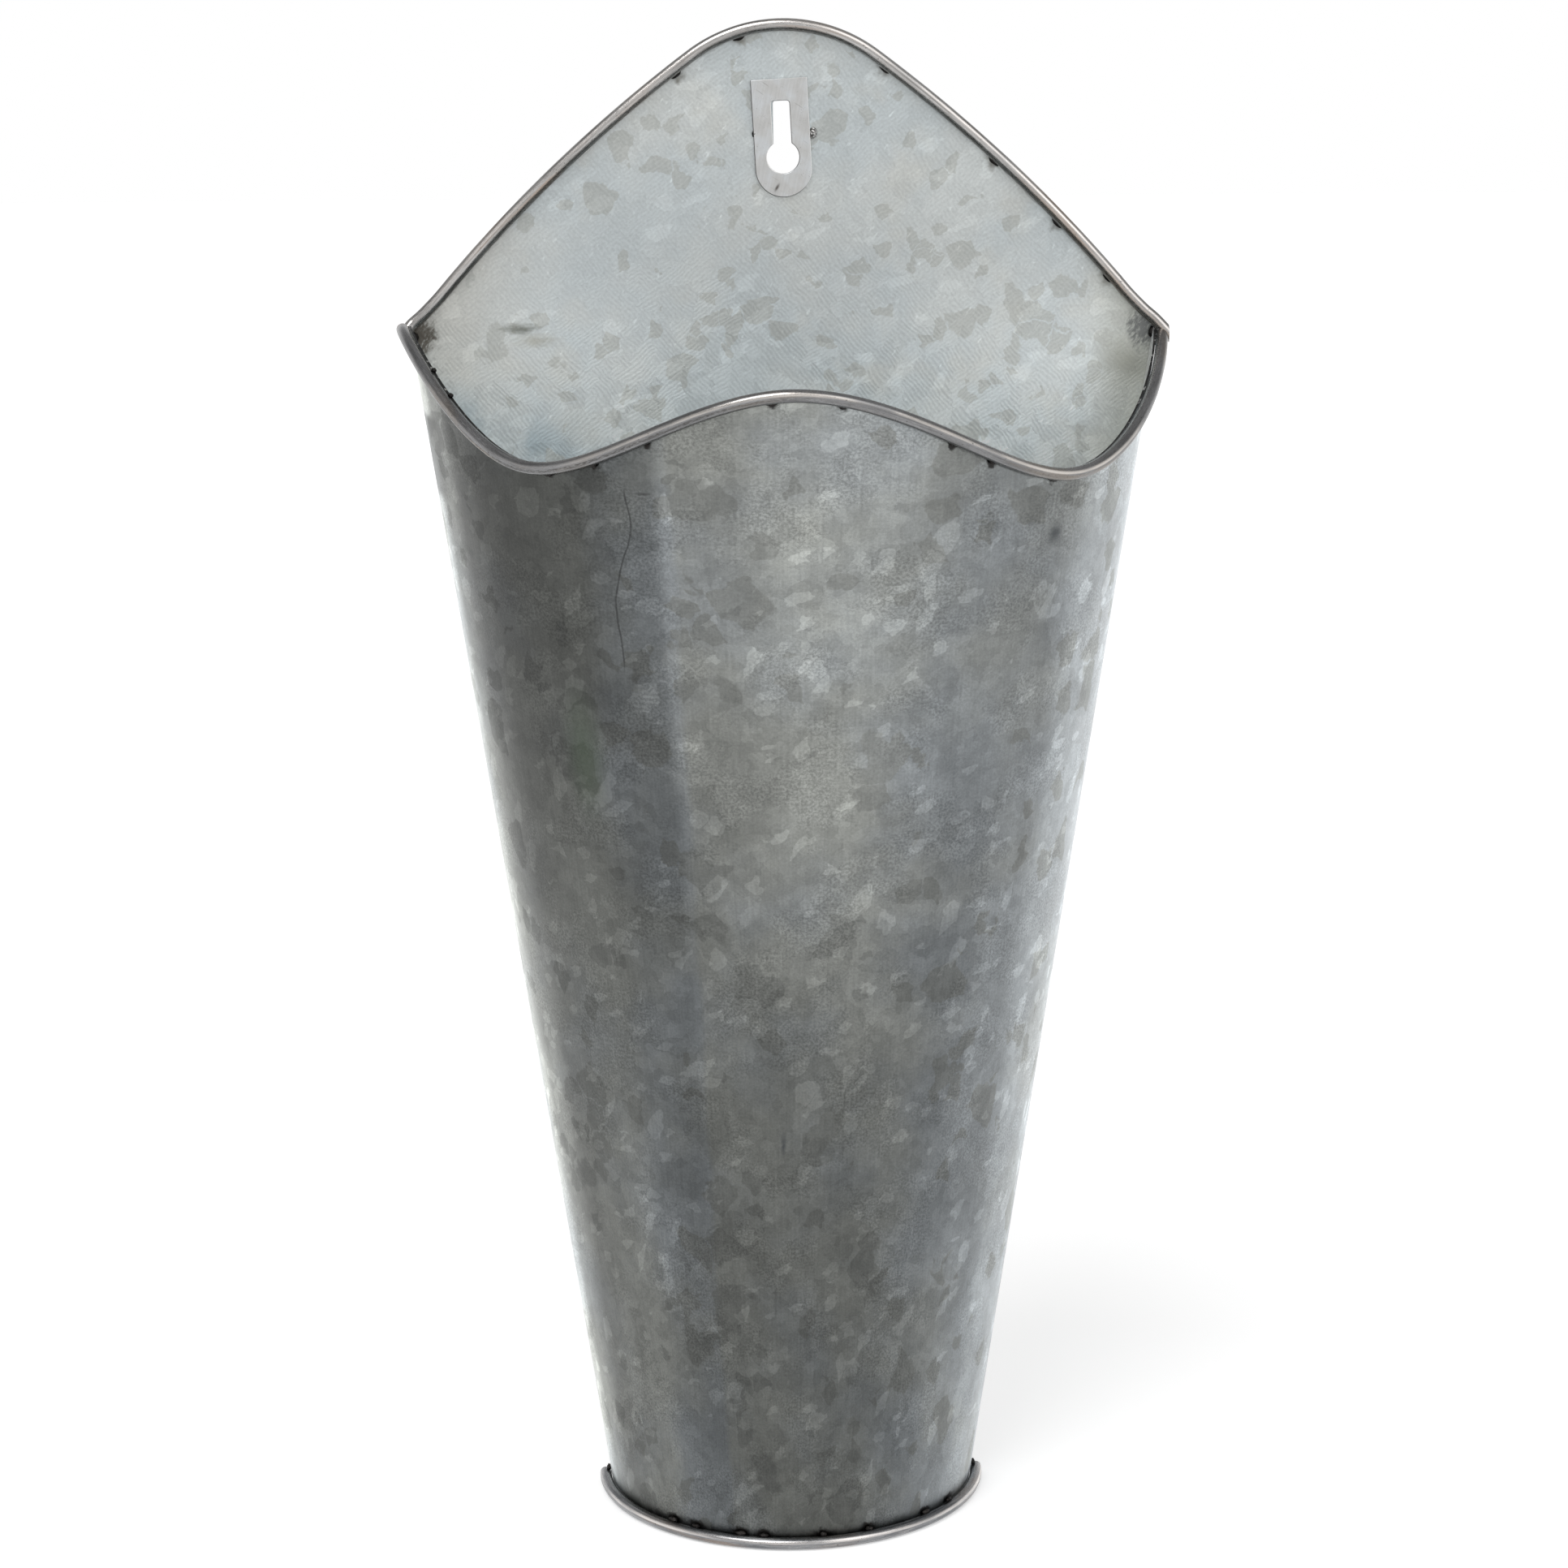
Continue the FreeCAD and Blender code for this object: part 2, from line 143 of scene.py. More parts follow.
def arch_joint():
    """Angle from upright, and the right shoulder's centre, where the arch's arcs meet."""
    gap = SHOULDER_RADIUS - APEX_RADIUS
    rise = CORNER_HEIGHT - (ARCH_HEIGHT - APEX_RADIUS)
    reach = math.hypot(CORNER_HALF_WIDTH, rise)
    bearing = math.atan2(CORNER_HALF_WIDTH, rise)
    cosine = (gap ** 2 + reach ** 2 - SHOULDER_RADIUS ** 2) / (2.0 * gap * reach)
    turn = bearing + math.acos(cosine) - math.pi
    return turn, -gap * math.sin(turn), ARCH_HEIGHT - APEX_RADIUS - gap * math.cos(turn)


def on_arch(offset, outset=0.0):
    """A point of the arch wire's centre line, at a distance from the middle of the panel."""
    turn, centre_x, centre_z = arch_joint()
    across = abs(offset)
    side = math.copysign(1.0, offset)
    if across <= APEX_RADIUS * math.sin(turn):
        angle, radius = math.asin(across / APEX_RADIUS), APEX_RADIUS
        centre_x, centre_z = 0.0, ARCH_HEIGHT - APEX_RADIUS
    else:
        angle, radius = math.asin((across - centre_x) / SHOULDER_RADIUS), SHOULDER_RADIUS
    x = centre_x + (radius + outset) * math.sin(angle)
    z = centre_z + (radius + outset) * math.cos(angle)
    return Vector((side * x, ARCH_WIRE_Y, BASE_Z + z))


def smooth_line(points, steps):
    """Many points along a smooth curve through a few."""
    made = []
    for i in range(1, len(points) - 2):
        a, b, c, d = points[i - 1:i + 3]
        for k in range(steps):
            t = k / steps
            made.append(0.5 * (2.0 * b + (c - a) * t + (2.0 * a - 5.0 * b + 4.0 * c - d) * t * t
                               + (3.0 * b - a - 3.0 * c + d) * t ** 3))
    return made + [points[-2]]


# ---------------------------------------------------------------- meshes

def add_piece(name, mesh, node):
    """Shows a mesh as a piece that rides on the body and stands for a CAD node."""
    piece = bpy.data.objects.new(name, mesh)
    bpy.context.scene.collection.objects.link(piece)
    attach(piece, "root")
    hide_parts(node)
    return piece


def skin_mesh(name, verts, faces, corners):
    """A smooth mesh with the flat coordinates of its faces' corners."""
    mesh = bpy.data.meshes.new(name)
    mesh.from_pydata(verts, [], faces)
    layer = mesh.uv_layers.new(name="flat")
    layer.data.foreach_set("uv", [number for face in corners for corner in face for number in corner])
    mesh.polygons.foreach_set("use_smooth", [True] * len(mesh.polygons))
    mesh.update()
    return mesh


def finished_mesh(name, bm):
    mesh = bpy.data.meshes.new(name)
    bm.to_mesh(mesh)
    bm.free()
    return mesh


def grid_faces(columns, rows, start, flip=False):
    """Quads over a grid of points stored column by column."""
    faces = []
    for i in range(columns - 1):
        for j in range(rows - 1):
            a = start + i * rows + j
            quad = (a, a + rows, a + rows + 1, a + 1)
            faces.append(quad[::-1] if flip else quad)
    return faces


def cut_away(piece, point, normal):
    """Cuts off what lies beyond a plane and closes the cut."""
    bm = bmesh.new()
    bm.from_mesh(piece.data)
    everything = bm.verts[:] + bm.edges[:] + bm.faces[:]
    bmesh.ops.bisect_plane(bm, geom=everything, plane_co=point, plane_no=normal, clear_outer=True)
    rims = [edge for edge in bm.edges if edge.is_boundary]
    for face in bmesh.ops.holes_fill(bm, edges=rims)["faces"]:
        face.smooth = False
    bm.to_mesh(piece.data)
    bm.free()


def round_bar(name, node, points, outwards, tip, seed):
    """A drawn wire along a line of points, faintly uneven, with its tips rounded over."""
    stations = []
    length = 0.0
    last = len(points) - 1
    for i, point in enumerate(points):
        along = (points[min(i + 1, last)] - points[max(i - 1, 0)]).normalized()
        if i:
            length += (point - points[i - 1]).length
        stations.append((point, along, outwards[i], length, 1.0))
    (start, start_way, start_out, _, _), (end, end_way, end_out, _, _) = stations[0], stations[-1]
    for k in range(1, TIP_RINGS + 1):
        turn = 0.5 * math.pi * k / TIP_RINGS
        reach, shrink = tip * math.sin(turn), math.cos(turn) * 0.999 + 0.001
        stations.insert(0, (start - start_way * reach, start_way, start_out, -reach, shrink))
        stations.append((end + end_way * reach, end_way, end_out, length + reach, shrink))
    verts = []
    for point, along, outward, at, shrink in stations:
        side = (outward - along * outward.dot(along)).normalized()
        up = side.cross(along)
        for k in range(WIRE_SIDES):
            turn = 2.0 * math.pi * k / WIRE_SIDES
            way = side * math.cos(turn) + up * math.sin(turn)
            dent = noise.noise(Vector((at * DENTS_ALONG, math.cos(turn) * DENTS_ROUND + seed,
                                      math.sin(turn) * DENTS_ROUND)))
            verts.append(point + way * (WIRE * shrink * (WIRE_FULLNESS + DENT_DEPTH * dent)))
    faces, corners = [], []
    for i in range(len(stations) - 1):
        ring, beyond = i * WIRE_SIDES, (i + 1) * WIRE_SIDES
        low, high = stations[i][3], stations[i + 1][3]
        for k in range(WIRE_SIDES):
            n = (k + 1) % WIRE_SIDES
            a, b = k / WIRE_SIDES, (k + 1) / WIRE_SIDES
            faces.append((ring + k, ring + n, beyond + n, beyond + k))
            corners.append(((low, a), (low, b), (high, b), (high, a)))
    for ring, flip in ((0, True), (len(stations) - 1, False)):
        cap = tuple(ring * WIRE_SIDES + k for k in range(WIRE_SIDES))
        faces.append(cap[::-1] if flip else cap)
        corners.append(((stations[ring][3], 0.0),) * WIRE_SIDES)
    return add_piece(name, skin_mesh(name, verts, faces, corners), node)


def make_shell():
    """The half-cone of sheet: an outer face, an inner face and the cut edges that join them, with
    the faint hollows that hand rolling leaves."""
    columns, rows = SHELL_COLUMNS, SHELL_ROWS
    verts, flat = [], []
    for inner in (0.0, 1.0):
        for i in range(columns):
            angle = -90.0 + 180.0 * i / (columns - 1)
            top = rim_height(angle) + SHEET_ABOVE_WIRE
            for j in range(rows):
                t = j / (rows - 1)
                height = top * t
                ripple = noise.noise(Vector((angle * 0.06, height * 5.0, 3.7)))
                roll = noise.noise(Vector((angle * 0.16, height * 1.2, 9.1)))
                hollow = RIPPLE_DEPTH * (1.0 + ripple) + ROLL_DEPTH * (1.0 + roll)
                # The hollows fade out at the four edges.
                hollow *= min(1.0, 12.0 * t) * min(1.0, 12.0 * (1.0 - t)) * math.cos(math.radians(angle)) ** 0.5
                verts.append(on_shell(angle, height, -hollow - inner * SHEET / COS_LEAN))
                flat.append((math.radians(angle) * UNROLL, height))
    skin = columns * rows
    faces = grid_faces(columns, rows, 0) + grid_faces(columns, rows, skin, flip=True)
    for i in range(columns - 1):
        low, high = i * rows, (i + 1) * rows
        faces.append((low, low + skin, high + skin, high))
        faces.append((low + rows - 1, high + rows - 1, high + rows - 1 + skin, low + rows - 1 + skin))
    for j in range(rows - 1):
        faces.append((j, j + 1, j + 1 + skin, j + skin))
        last = (columns - 1) * rows + j
        faces.append((last + 1, last, last + skin, last + 1 + skin))
    corners = [tuple(flat[v] for v in face) for face in faces]
    mesh = skin_mesh("shell_sheet", verts, faces, corners)
    shell = add_piece("shell_sheet", mesh, "front_shell")
    # The outer face has the first material, the inner face the second and the cut edges the third.
    outside = (columns - 1) * (rows - 1)
    for polygon in mesh.polygons[outside:]:
        polygon.material_index = 1 if polygon.index < 2 * outside else 2
        polygon.use_smooth = polygon.index < 2 * outside
    return shell


def make_front_rim():
    """The wavy wire, from the arch wire's turned end on the left to the wall on the right."""
    angles = [FRONT_RIM_START + FRONT_RIM_SWEEP * i / FRONT_RIM_STEPS for i in range(FRONT_RIM_STEPS + 1)]
    points = [on_front_rim(a) for a in angles]
    outwards = [shell_outward(a) for a in angles]
    piece = round_bar("front_rim_bar", "front_rim_wire", points, outwards, SHARP_TIP, 1.0)
    cut_away(piece, Y_WAY * FRONT_RIM_BACK, Y_WAY)
    return piece


def make_base_rim():
    """The wire round the lower edge, cut a little short of the wall at both ends."""
    end = 90.0 - math.degrees(BASE_RIM_SHORT / BASE_RADIUS)
    angles = [end * (2.0 * i / BASE_RIM_STEPS - 1.0) for i in range(BASE_RIM_STEPS + 1)]
    points = [on_shell(a, WIRE, WIRE_OUTSET) for a in angles]
    outwards = [Vector((math.sin(math.radians(a)), -math.cos(math.radians(a)), 0.0)) for a in angles]
    return round_bar("base_rim_bar", "base_rim_wire", points, outwards, BLUNT_TIP, 2.0)


def make_arch_rim():
    """The arch wire: its left end turns forward over the front rim's end, its right end is cut square."""
    middle = [on_arch(ARCH_SPAN * (2.0 * i / ARCH_STEPS - 1.0)) for i in range(ARCH_STEPS + 1)]
    left, right = [], []
    for side, end in ((-1.0, left), (1.0, right)):
        end += [on_arch(side * x) for x in (0.0825, ARCH_SPAN, 0.0895)]
        end.append(Vector((side * 0.0936, ARCH_WIRE_Y, CORNER_Z + 0.0049)))
        end.append(Vector((side * 0.0966, ARCH_WIRE_Y - 0.0002, CORNER_Z + 0.0023)))
    left.append(Vector((-0.0984, ARCH_WIRE_Y - 0.0016, CORNER_Z + 0.0004)))
    left += [on_front_rim(angle) for angle in (-86.8, -85.4, -84.2, -83.0)]
    for x, forward, drop in ((0.0994, 0.0008, 0.0006), (0.1022, 0.0014, 0.0036), (0.1050, 0.0020, 0.0066)):
        right.append(Vector((x, ARCH_WIRE_Y - forward, CORNER_Z - drop)))
    left, right = smooth_line(left, END_STEPS), smooth_line(right, END_STEPS)
    points = left[:0:-1] + middle + right[1:]
    outwards = []
    for point in points:
        turned = min(1.0, max(0.0, (-0.0966 - point.x) / 0.0016)) if point.x < 0.0 else 0.0
        outwards.append(Vector((-turned, turned - 1.0, 0.2 * turned)))
    piece = round_bar("arch_rim_bar", "back_rim_wire", points, outwards, SHARP_TIP, 3.0)
    cut_away(piece, X_WAY * ARCH_RIGHT_END, X_WAY)
    return piece


def lump(bm, centre, axes, radii, seed):
    """One lumpy bead of weld metal."""
    start = len(bm.verts)
    bmesh.ops.create_icosphere(bm, subdivisions=3, radius=1.0)
    bm.verts.ensure_lookup_table()
    for vert in bm.verts[start:]:
        way = vert.co.copy()
        swell = 1.0 + 0.22 * noise.noise(way * 1.7 + X_WAY * seed) + 0.10 * noise.noise(way * 4.5 + Y_WAY * seed)
        vert.co = centre + sum((axis * (way[k] * radii[k] * swell) for k, axis in enumerate(axes)), Vector())


def add_lumps(name, bm, node):
    """Shows the beads gathered so far as one smooth piece."""
    for face in bm.faces:
        face.smooth = True
    return add_piece(name, finished_mesh(name, bm), node)


def lumps_round_shell(name, node, angles, height_at, side, tuck, inner=()):
    """Beads in the crook between the shell and a wire round it, tucked some way under the wire."""
    dice = random.Random(name)
    bm = bmesh.new()
    for angle in angles:
        ahead = on_shell(angle + 1.0, height_at(angle + 1.0), WIRE_OUTSET)
        along = (ahead - on_shell(angle - 1.0, height_at(angle - 1.0), WIRE_OUTSET)).normalized()
        out = shell_outward(angle)
        up = out.cross(along).normalized() * (1.0 if out.cross(along).z > 0.0 else -1.0)
        centre = on_shell(angle, height_at(angle) + side * (WIRE + BEAD_CLEARANCE - tuck), 0.0005)
        radii = (RIM_BEAD[0] * dice.uniform(0.7, 1.3), RIM_BEAD[1] * dice.uniform(0.8, 1.1),
                 RIM_BEAD[2] * dice.uniform(0.7, 1.15))
        lump(bm, centre, (along, out, up), radii, dice.uniform(0.0, 50.0))
    for angle in inner:
        centre = on_shell(angle, height_at(angle) + 0.0012, -0.0004)
        out = shell_outward(angle)
        along = Vector((math.cos(math.radians(angle)), math.sin(math.radians(angle)), 0.0))
        lump(bm, centre, (along, out, out.cross(along)), INNER_BEAD, dice.uniform(0.0, 50.0))
    return add_lumps(name, bm, node)


def make_arch_lumps():
    """Long, low beads in the crook between the panel and the arch wire."""
    dice = random.Random("arch")
    bm = bmesh.new()
    out = -Y_WAY
    for offset in ARCH_TACKS:
        along = (on_arch(offset + 0.001) - on_arch(offset - 0.001)).normalized()
        crook = on_arch(offset, 0.0001 - WIRE)
        centre = Vector((crook.x, PANEL_FRONT - 0.0004, crook.z))
        radii = (ARCH_BEAD[0] * dice.uniform(0.8, 1.2), ARCH_BEAD[1], ARCH_BEAD[2] * dice.uniform(0.8, 1.2))
        lump(bm, centre, (along, out, out.cross(along)), radii, dice.uniform(0.0, 50.0))
    return add_lumps("arch_beads", bm, "back_rim_tacks")


def make_corner_lumps():
    """The larger weld in each corner, and the seam where the two wires' ends meet."""
    bm = bmesh.new()
    axes = (X_WAY, Y_WAY, Z_WAY)
    for side in (-1.0, 1.0):
        corner = on_shell(side * 90.0, CORNER_HEIGHT - 0.0014, -SHEET)
        centre = Vector((corner.x + side * 0.0003, PANEL_FRONT - 0.0007, corner.z))
        lump(bm, centre, axes, CORNER_BEAD, 11.0 + side)
        seam = on_shell(side * 87.2, rim_height(side * 87.2) - 0.0006, 0.0004)
        lump(bm, seam, axes, SEAM_BEAD, 23.0 + side)
    return add_lumps("corner_beads", bm, "corner_welds")


def make_hanger_lumps():
    """A dark bead at the keyhole plate's left, and a pale one at its right."""
    bm = bmesh.new()
    axes = (X_WAY, Y_WAY, Z_WAY)
    lump(bm, Vector((-0.0073, PANEL_FRONT - 0.0004, 0.0060)), axes, HANGER_DARK_BEAD, 30.0)
    dark_faces = len(bm.faces)
    lump(bm, Vector((0.0078, PANEL_FRONT - 0.0004, 0.0061)), axes, HANGER_PALE_BEAD, 32.0)
    bm.faces.ensure_lookup_table()
    for face in bm.faces[dark_faces:]:
        face.material_index = 1
    return add_lumps("hanger_beads", bm, "hanger_tacks")


def make_keyhole_plate():
    """A copy of the CAD plate with its sharp edges rounded over, which stands for it."""
    bm = bmesh.new()
    bm.from_mesh(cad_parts["hanger_plate"].data)
    bmesh.ops.remove_doubles(bm, verts=bm.verts[:], dist=1e-6)
    bmesh.ops.dissolve_limit(bm, angle_limit=0.01, verts=bm.verts[:], edges=bm.edges[:])
    sharp = [edge for edge in bm.edges if len(edge.link_faces) == 2 and edge.calc_face_angle() > 0.9]
    bmesh.ops.bevel(bm, geom=sharp, offset=BURR, segments=3, profile=0.5, affect="EDGES", clamp_overlap=True)
    for face in bm.faces:
        face.smooth = face.calc_area() < 5e-6
    return add_piece("keyhole_plate", finished_mesh("keyhole_plate", bm), "hanger_plate")


# ---------------------------------------------------------------- materials

PANEL_PLAIN = (0.520, 0.545, 0.540, 1.0)
PANEL_COOL = (0.505, 0.545, 0.555, 1.0)
PANEL_WARM = (0.530, 0.535, 0.505, 1.0)
PANEL_DULL = (0.390, 0.400, 0.378, 1.0)        # the crystals that stand out
PANEL_OLIVE = (0.340, 0.345, 0.305, 1.0)       # by the right edge
PANEL_CREAM = (0.500, 0.490, 0.452, 1.0)       # by the left corner
PANEL_BLUE = (0.330, 0.395, 0.425, 1.0)        # low on the left
DEEP_PAINTED_LIGHT_GAIN = 1.66                               # how much paler the panel is painted deep in the mouth, as painted light
BURN_BROWN = (0.085, 0.072, 0.055, 1.0)
BURN_GREY = (0.115, 0.120, 0.122, 1.0)
TACK_BROWN = (0.100, 0.090, 0.070, 1.0)
STALE_BEIGE = (0.300, 0.300, 0.250, 1.0)
SMEAR_OLIVE = (0.110, 0.115, 0.085, 1.0)
SMEAR_TAN = (0.300, 0.270, 0.180, 1.0)

# The shell's bands of painted reflection, painted bright at both edges and painted darker low down as painted shade:
# how far round, from the left edge (0) to the right edge (1), and how pale high up, how pale low down, and how blue.
UPPER_PAINTED_REFLECTIONS = ((0.0, 0.88), (0.055, 0.70), (0.10, 0.26), (0.145, 0.095), (0.19, 0.062), (0.30, 0.085),
              (0.375, 0.135), (0.392, 0.235), (0.55, 0.320), (0.66, 0.235), (0.76, 0.215), (0.83, 0.40),
              (1.0, 0.80))
LOWER_PAINTED_REFLECTIONS = ((0.0, 0.90), (0.07, 0.70), (0.12, 0.30), (0.18, 0.150), (0.28, 0.165), (0.38, 0.118),
              (0.55, 0.122), (0.66, 0.150), (0.76, 0.230), (0.84, 0.40), (1.0, 0.75))
COOL_PAINTED_REFLECTIONS = ((0.0, 0.5), (0.12, 0.20), (0.28, 0.15), (0.33, 0.65), (0.388, 0.75), (0.40, 0.25),
             (0.55, 0.30), (0.68, 0.75), (0.85, 0.95), (1.0, 1.1))
TARNISH = (0.120, 0.120, 0.120, 1.0)
OLIVE_TINT = (0.990, 1.020, 0.960, 1.0)
BLUE_TINT = (0.935, 1.00, 1.035, 1.0)
DARK_TINT = (0.985, 1.015, 0.965, 1.0)         # on the dark crystals
GREEN_CAST = (0.070, 0.098, 0.062, 1.0)
SPOT_BLUE = (0.045, 0.050, 0.056, 1.0)
SOOT = (0.020, 0.018, 0.017, 1.0)
NEAR_BLACK = (0.030, 0.030, 0.030, 1.0)
INNER_PALE = (0.720, 0.735, 0.735, 1.0)
EDGE_PALE = (0.420, 0.420, 0.410, 1.0)

# The wires: bright, dark and brown steel, and the colour of the painted highlight line along them.
FRONT_STEEL = ((0.27, 0.27, 0.275, 1.0), (0.17, 0.17, 0.172, 1.0), (0.24, 0.21, 0.18, 1.0),
               (0.68, 0.64, 0.60, 1.0))
BASE_STEEL = ((0.36, 0.36, 0.365, 1.0), (0.17, 0.175, 0.185, 1.0), (0.28, 0.23, 0.20, 1.0),
              (0.80, 0.76, 0.73, 1.0))
ARCH_STEEL = ((0.50, 0.49, 0.48, 1.0), (0.30, 0.29, 0.28, 1.0), (0.38, 0.31, 0.26, 1.0),
              (0.74, 0.70, 0.67, 1.0))
PAINTED_HIGHLIGHT_AROUND = 0.075                              # how far round a wire its painted highlight line lies
DARK_LINE_AROUND, CREST_AT = 0.965, 0.19                 # the front rim's dark line, and its crest along the wire
DARK_LINE_GREY = (0.060, 0.056, 0.052, 1.0)
PIT_BROWN = (0.030, 0.025, 0.022, 1.0)

WELD_BLACK = (0.010, 0.009, 0.009, 1.0)
WELD_GREY = (0.036, 0.032, 0.030, 1.0)
BARE_GREY = (0.26, 0.25, 0.24, 1.0)            # where weld or plate is scraped
SPATTER_DARK = (0.070, 0.068, 0.065, 1.0)
SPATTER_PALE = (0.520, 0.515, 0.505, 1.0)
PLATE_WARM = (0.540, 0.540, 0.532, 1.0)
PLATE_COOL = (0.515, 0.530, 0.540, 1.0)
# Painted shade and a painted highlight on the keyhole plate's edges, by the way they face.
PAINTED_SHADE_EDGE = (0.050, 0.045, 0.042, 1.0)
PAINTED_HIGHLIGHT_EDGE = (0.900, 0.895, 0.880, 1.0)
GOUGE_BROWN = (0.060, 0.050, 0.040, 1.0)
POCK_BROWN = (0.150, 0.140, 0.130, 1.0)


def feed(tree, socket, value):
    """Links an output to a socket, or sets the socket's own value."""
    if isinstance(value, bpy.types.NodeSocket):
        tree.links.new(value, socket)
    else:
        socket.default_value = value


def new_node(tree, kind, inputs, out=0, **settings):
    """Adds a node with its inputs and settings, and returns one of its outputs."""
    node = tree.nodes.new("ShaderNode" + kind)
    for key, value in settings.items():
        setattr(node, key, value)
    for key, value in inputs.items():
        feed(tree, node.inputs[key], value)
    return node.outputs[out]


class Paint:
    """One material's nodes. Each call adds a node and returns its output for the next."""

    def __init__(self, name, metallic=1.0):
        self.material = bpy.data.materials.new(name)
        self.material.use_nodes = True
        self.tree = self.material.node_tree
        self.shader = self.tree.nodes["Principled BSDF"]
        self.shader.inputs["Metallic"].default_value = metallic

    def add(self, kind, inputs, out=0, **settings):
        return new_node(self.tree, kind, inputs, out, **settings)

    def flat(self):
        return self.add("UVMap", {}, uv_map="flat")

    def place(self):
        return self.add("TexCoord", {}, out="Object")

    def upright(self, place):
        """The place on the part seen straight from the front: x and z, and no depth."""
        x, _, z = self.parts(place)
        return self.add("CombineXYZ", {0: x, 1: z})

    def moved(self, vector, scale, turn=0.0):
        """The coordinates turned, then stretched."""
        if turn:
            vector = self.add("Mapping", {"Vector": vector, "Rotation": (0.0, 0.0, turn)})
        return self.add("Mapping", {"Vector": vector, "Scale": scale})

    def noise(self, vector, scale, detail=3.0, rough=0.5, twist=0.0, out=0):
        return self.add("TexNoise", {"Vector": vector, "Scale": scale, "Detail": detail, "Roughness": rough,
                                     "Distortion": twist}, out=out)

    def streaks(self, vector, stretch, detail=3.0, rough=0.5, turn=0.0):
        """Noise stretched along one way."""
        return self.noise(self.moved(vector, (*stretch, 1.0), turn), 1.0, detail, rough)

    def cells(self, vector, scale):
        """A random number for each cell."""
        return self.first(self.add("TexVoronoi", {"Vector": vector, "Scale": scale, "Randomness": 1.0}, out="Color"))

    def math(self, operation, *values):
        return self.add("Math", dict(enumerate(values)), operation=operation)

    def plus(self, a, b):
        return self.math("ADD", a, b)

    def minus(self, a, b):
        return self.math("SUBTRACT", a, b)

    def times(self, a, b):
        return self.math("MULTIPLY", a, b)

    def apart(self, a, b):
        """How far apart two numbers are."""
        return self.math("ABSOLUTE", self.minus(a, b))

    def span(self, value, low, high, to_low=0.0, to_high=1.0):
        return self.add("MapRange", {0: value, 1: low, 2: high, 3: to_low, 4: to_high},
                        interpolation_type="SMOOTHSTEP")

    def mix(self, factor, a, b, how="MIX"):
        return self.add("Mix", {0: factor, 6: a, 7: b}, out=2, data_type="RGBA", blend_type=how)

    def cover(self, colour, mask, amount, top):
        """The colour with another over it where the mask is, up to an amount."""
        return self.mix(self.times(mask, amount), colour, top)

    def grey(self, value):
        return self.add("CombineColor", {0: value, 1: value, 2: value})

    def shade(self, colour, value):
        """The colour times a plain number."""
        return self.mix(1.0, colour, self.grey(value), "MULTIPLY")

    def parts(self, vector):
        node = self.tree.nodes.new("ShaderNodeSeparateXYZ")
        feed(self.tree, node.inputs[0], vector)
        return node.outputs

    def ramp(self, value, stops):
        node = self.tree.nodes.new("ShaderNodeValToRGB")
        feed(self.tree, node.inputs[0], value)
        band = node.color_ramp
        band.interpolation = "EASE"
        while len(band.elements) < len(stops):
            band.elements.new(0.5)
        for element, (at, level) in zip(band.elements, stops):
            element.position = at
            element.color = (level, level, level, 1.0)
        return node.outputs[0]

    def warp(self, vector, scale, amount):
        """The same coordinates, pushed about by noise so that straight cells turn ragged."""
        push = self.add("VectorMath", {0: self.noise(vector, scale, 3.0, out=1), 1: (0.5, 0.5, 0.5)},
                        operation="SUBTRACT")
        push = self.add("VectorMath", {0: push, 3: amount}, operation="SCALE")
        return self.add("VectorMath", {0: vector, 1: push}, operation="ADD")

    def first(self, colour):
        """The first channel of a colour, as a number."""
        return self.add("SeparateColor", {0: colour}, out=0)

    def near(self, place, point, reach):
        """One at a point, falling softly to nothing at a distance."""
        far = self.add("VectorMath", {0: place, 1: point}, out=1, operation="DISTANCE")
        return self.span(far, 0.0, reach, 1.0, 0.0)

    def most(self, values):
        top = values[0]
        for value in values[1:]:
            top = self.math("MAXIMUM", top, value)
        return top

    def bump(self, height, distance, strength):
        normal = self.add("Bump", {"Height": height, "Distance": distance, "Strength": strength})
        feed(self.tree, self.shader.inputs["Normal"], normal)

    def finish(self, colour, roughness):
        feed(self.tree, self.shader.inputs["Base Color"], colour)
        feed(self.tree, self.shader.inputs["Roughness"], roughness)
        return self.material


def crystals(paint, vector, scale, ragged):
    """A random number for each ragged zinc crystal."""
    return paint.cells(paint.warp(vector, 2.0 * scale, ragged), scale)


def patches(paint, vector, scale, ragged, rare):
    """One inside the few crystals that stand out, nothing elsewhere, with soft edges."""
    warped = paint.warp(vector, 1.3 * scale, ragged)
    chosen = paint.cells(warped, scale)
    inside = paint.add("TexVoronoi", {"Vector": warped, "Scale": scale}, out="Distance",
                       feature="DISTANCE_TO_EDGE")
    return paint.times(paint.math("GREATER_THAN", chosen, 1.0 - rare), paint.span(inside, 0.0, 0.05))


def stripes(paint, vector, angle, period):
    """Fine wavering rolling lines at an angle, from -1 to 1."""
    turn = 2.0 * math.pi / period
    way = (math.cos(math.radians(angle)) * turn, math.sin(math.radians(angle)) * turn, 0.0)
    along = paint.add("VectorMath", {0: vector, 1: way}, out=1, operation="DOT_PRODUCT")
    return paint.math("SINE", paint.plus(along, paint.times(paint.noise(vector, 90.0), 26.0)))


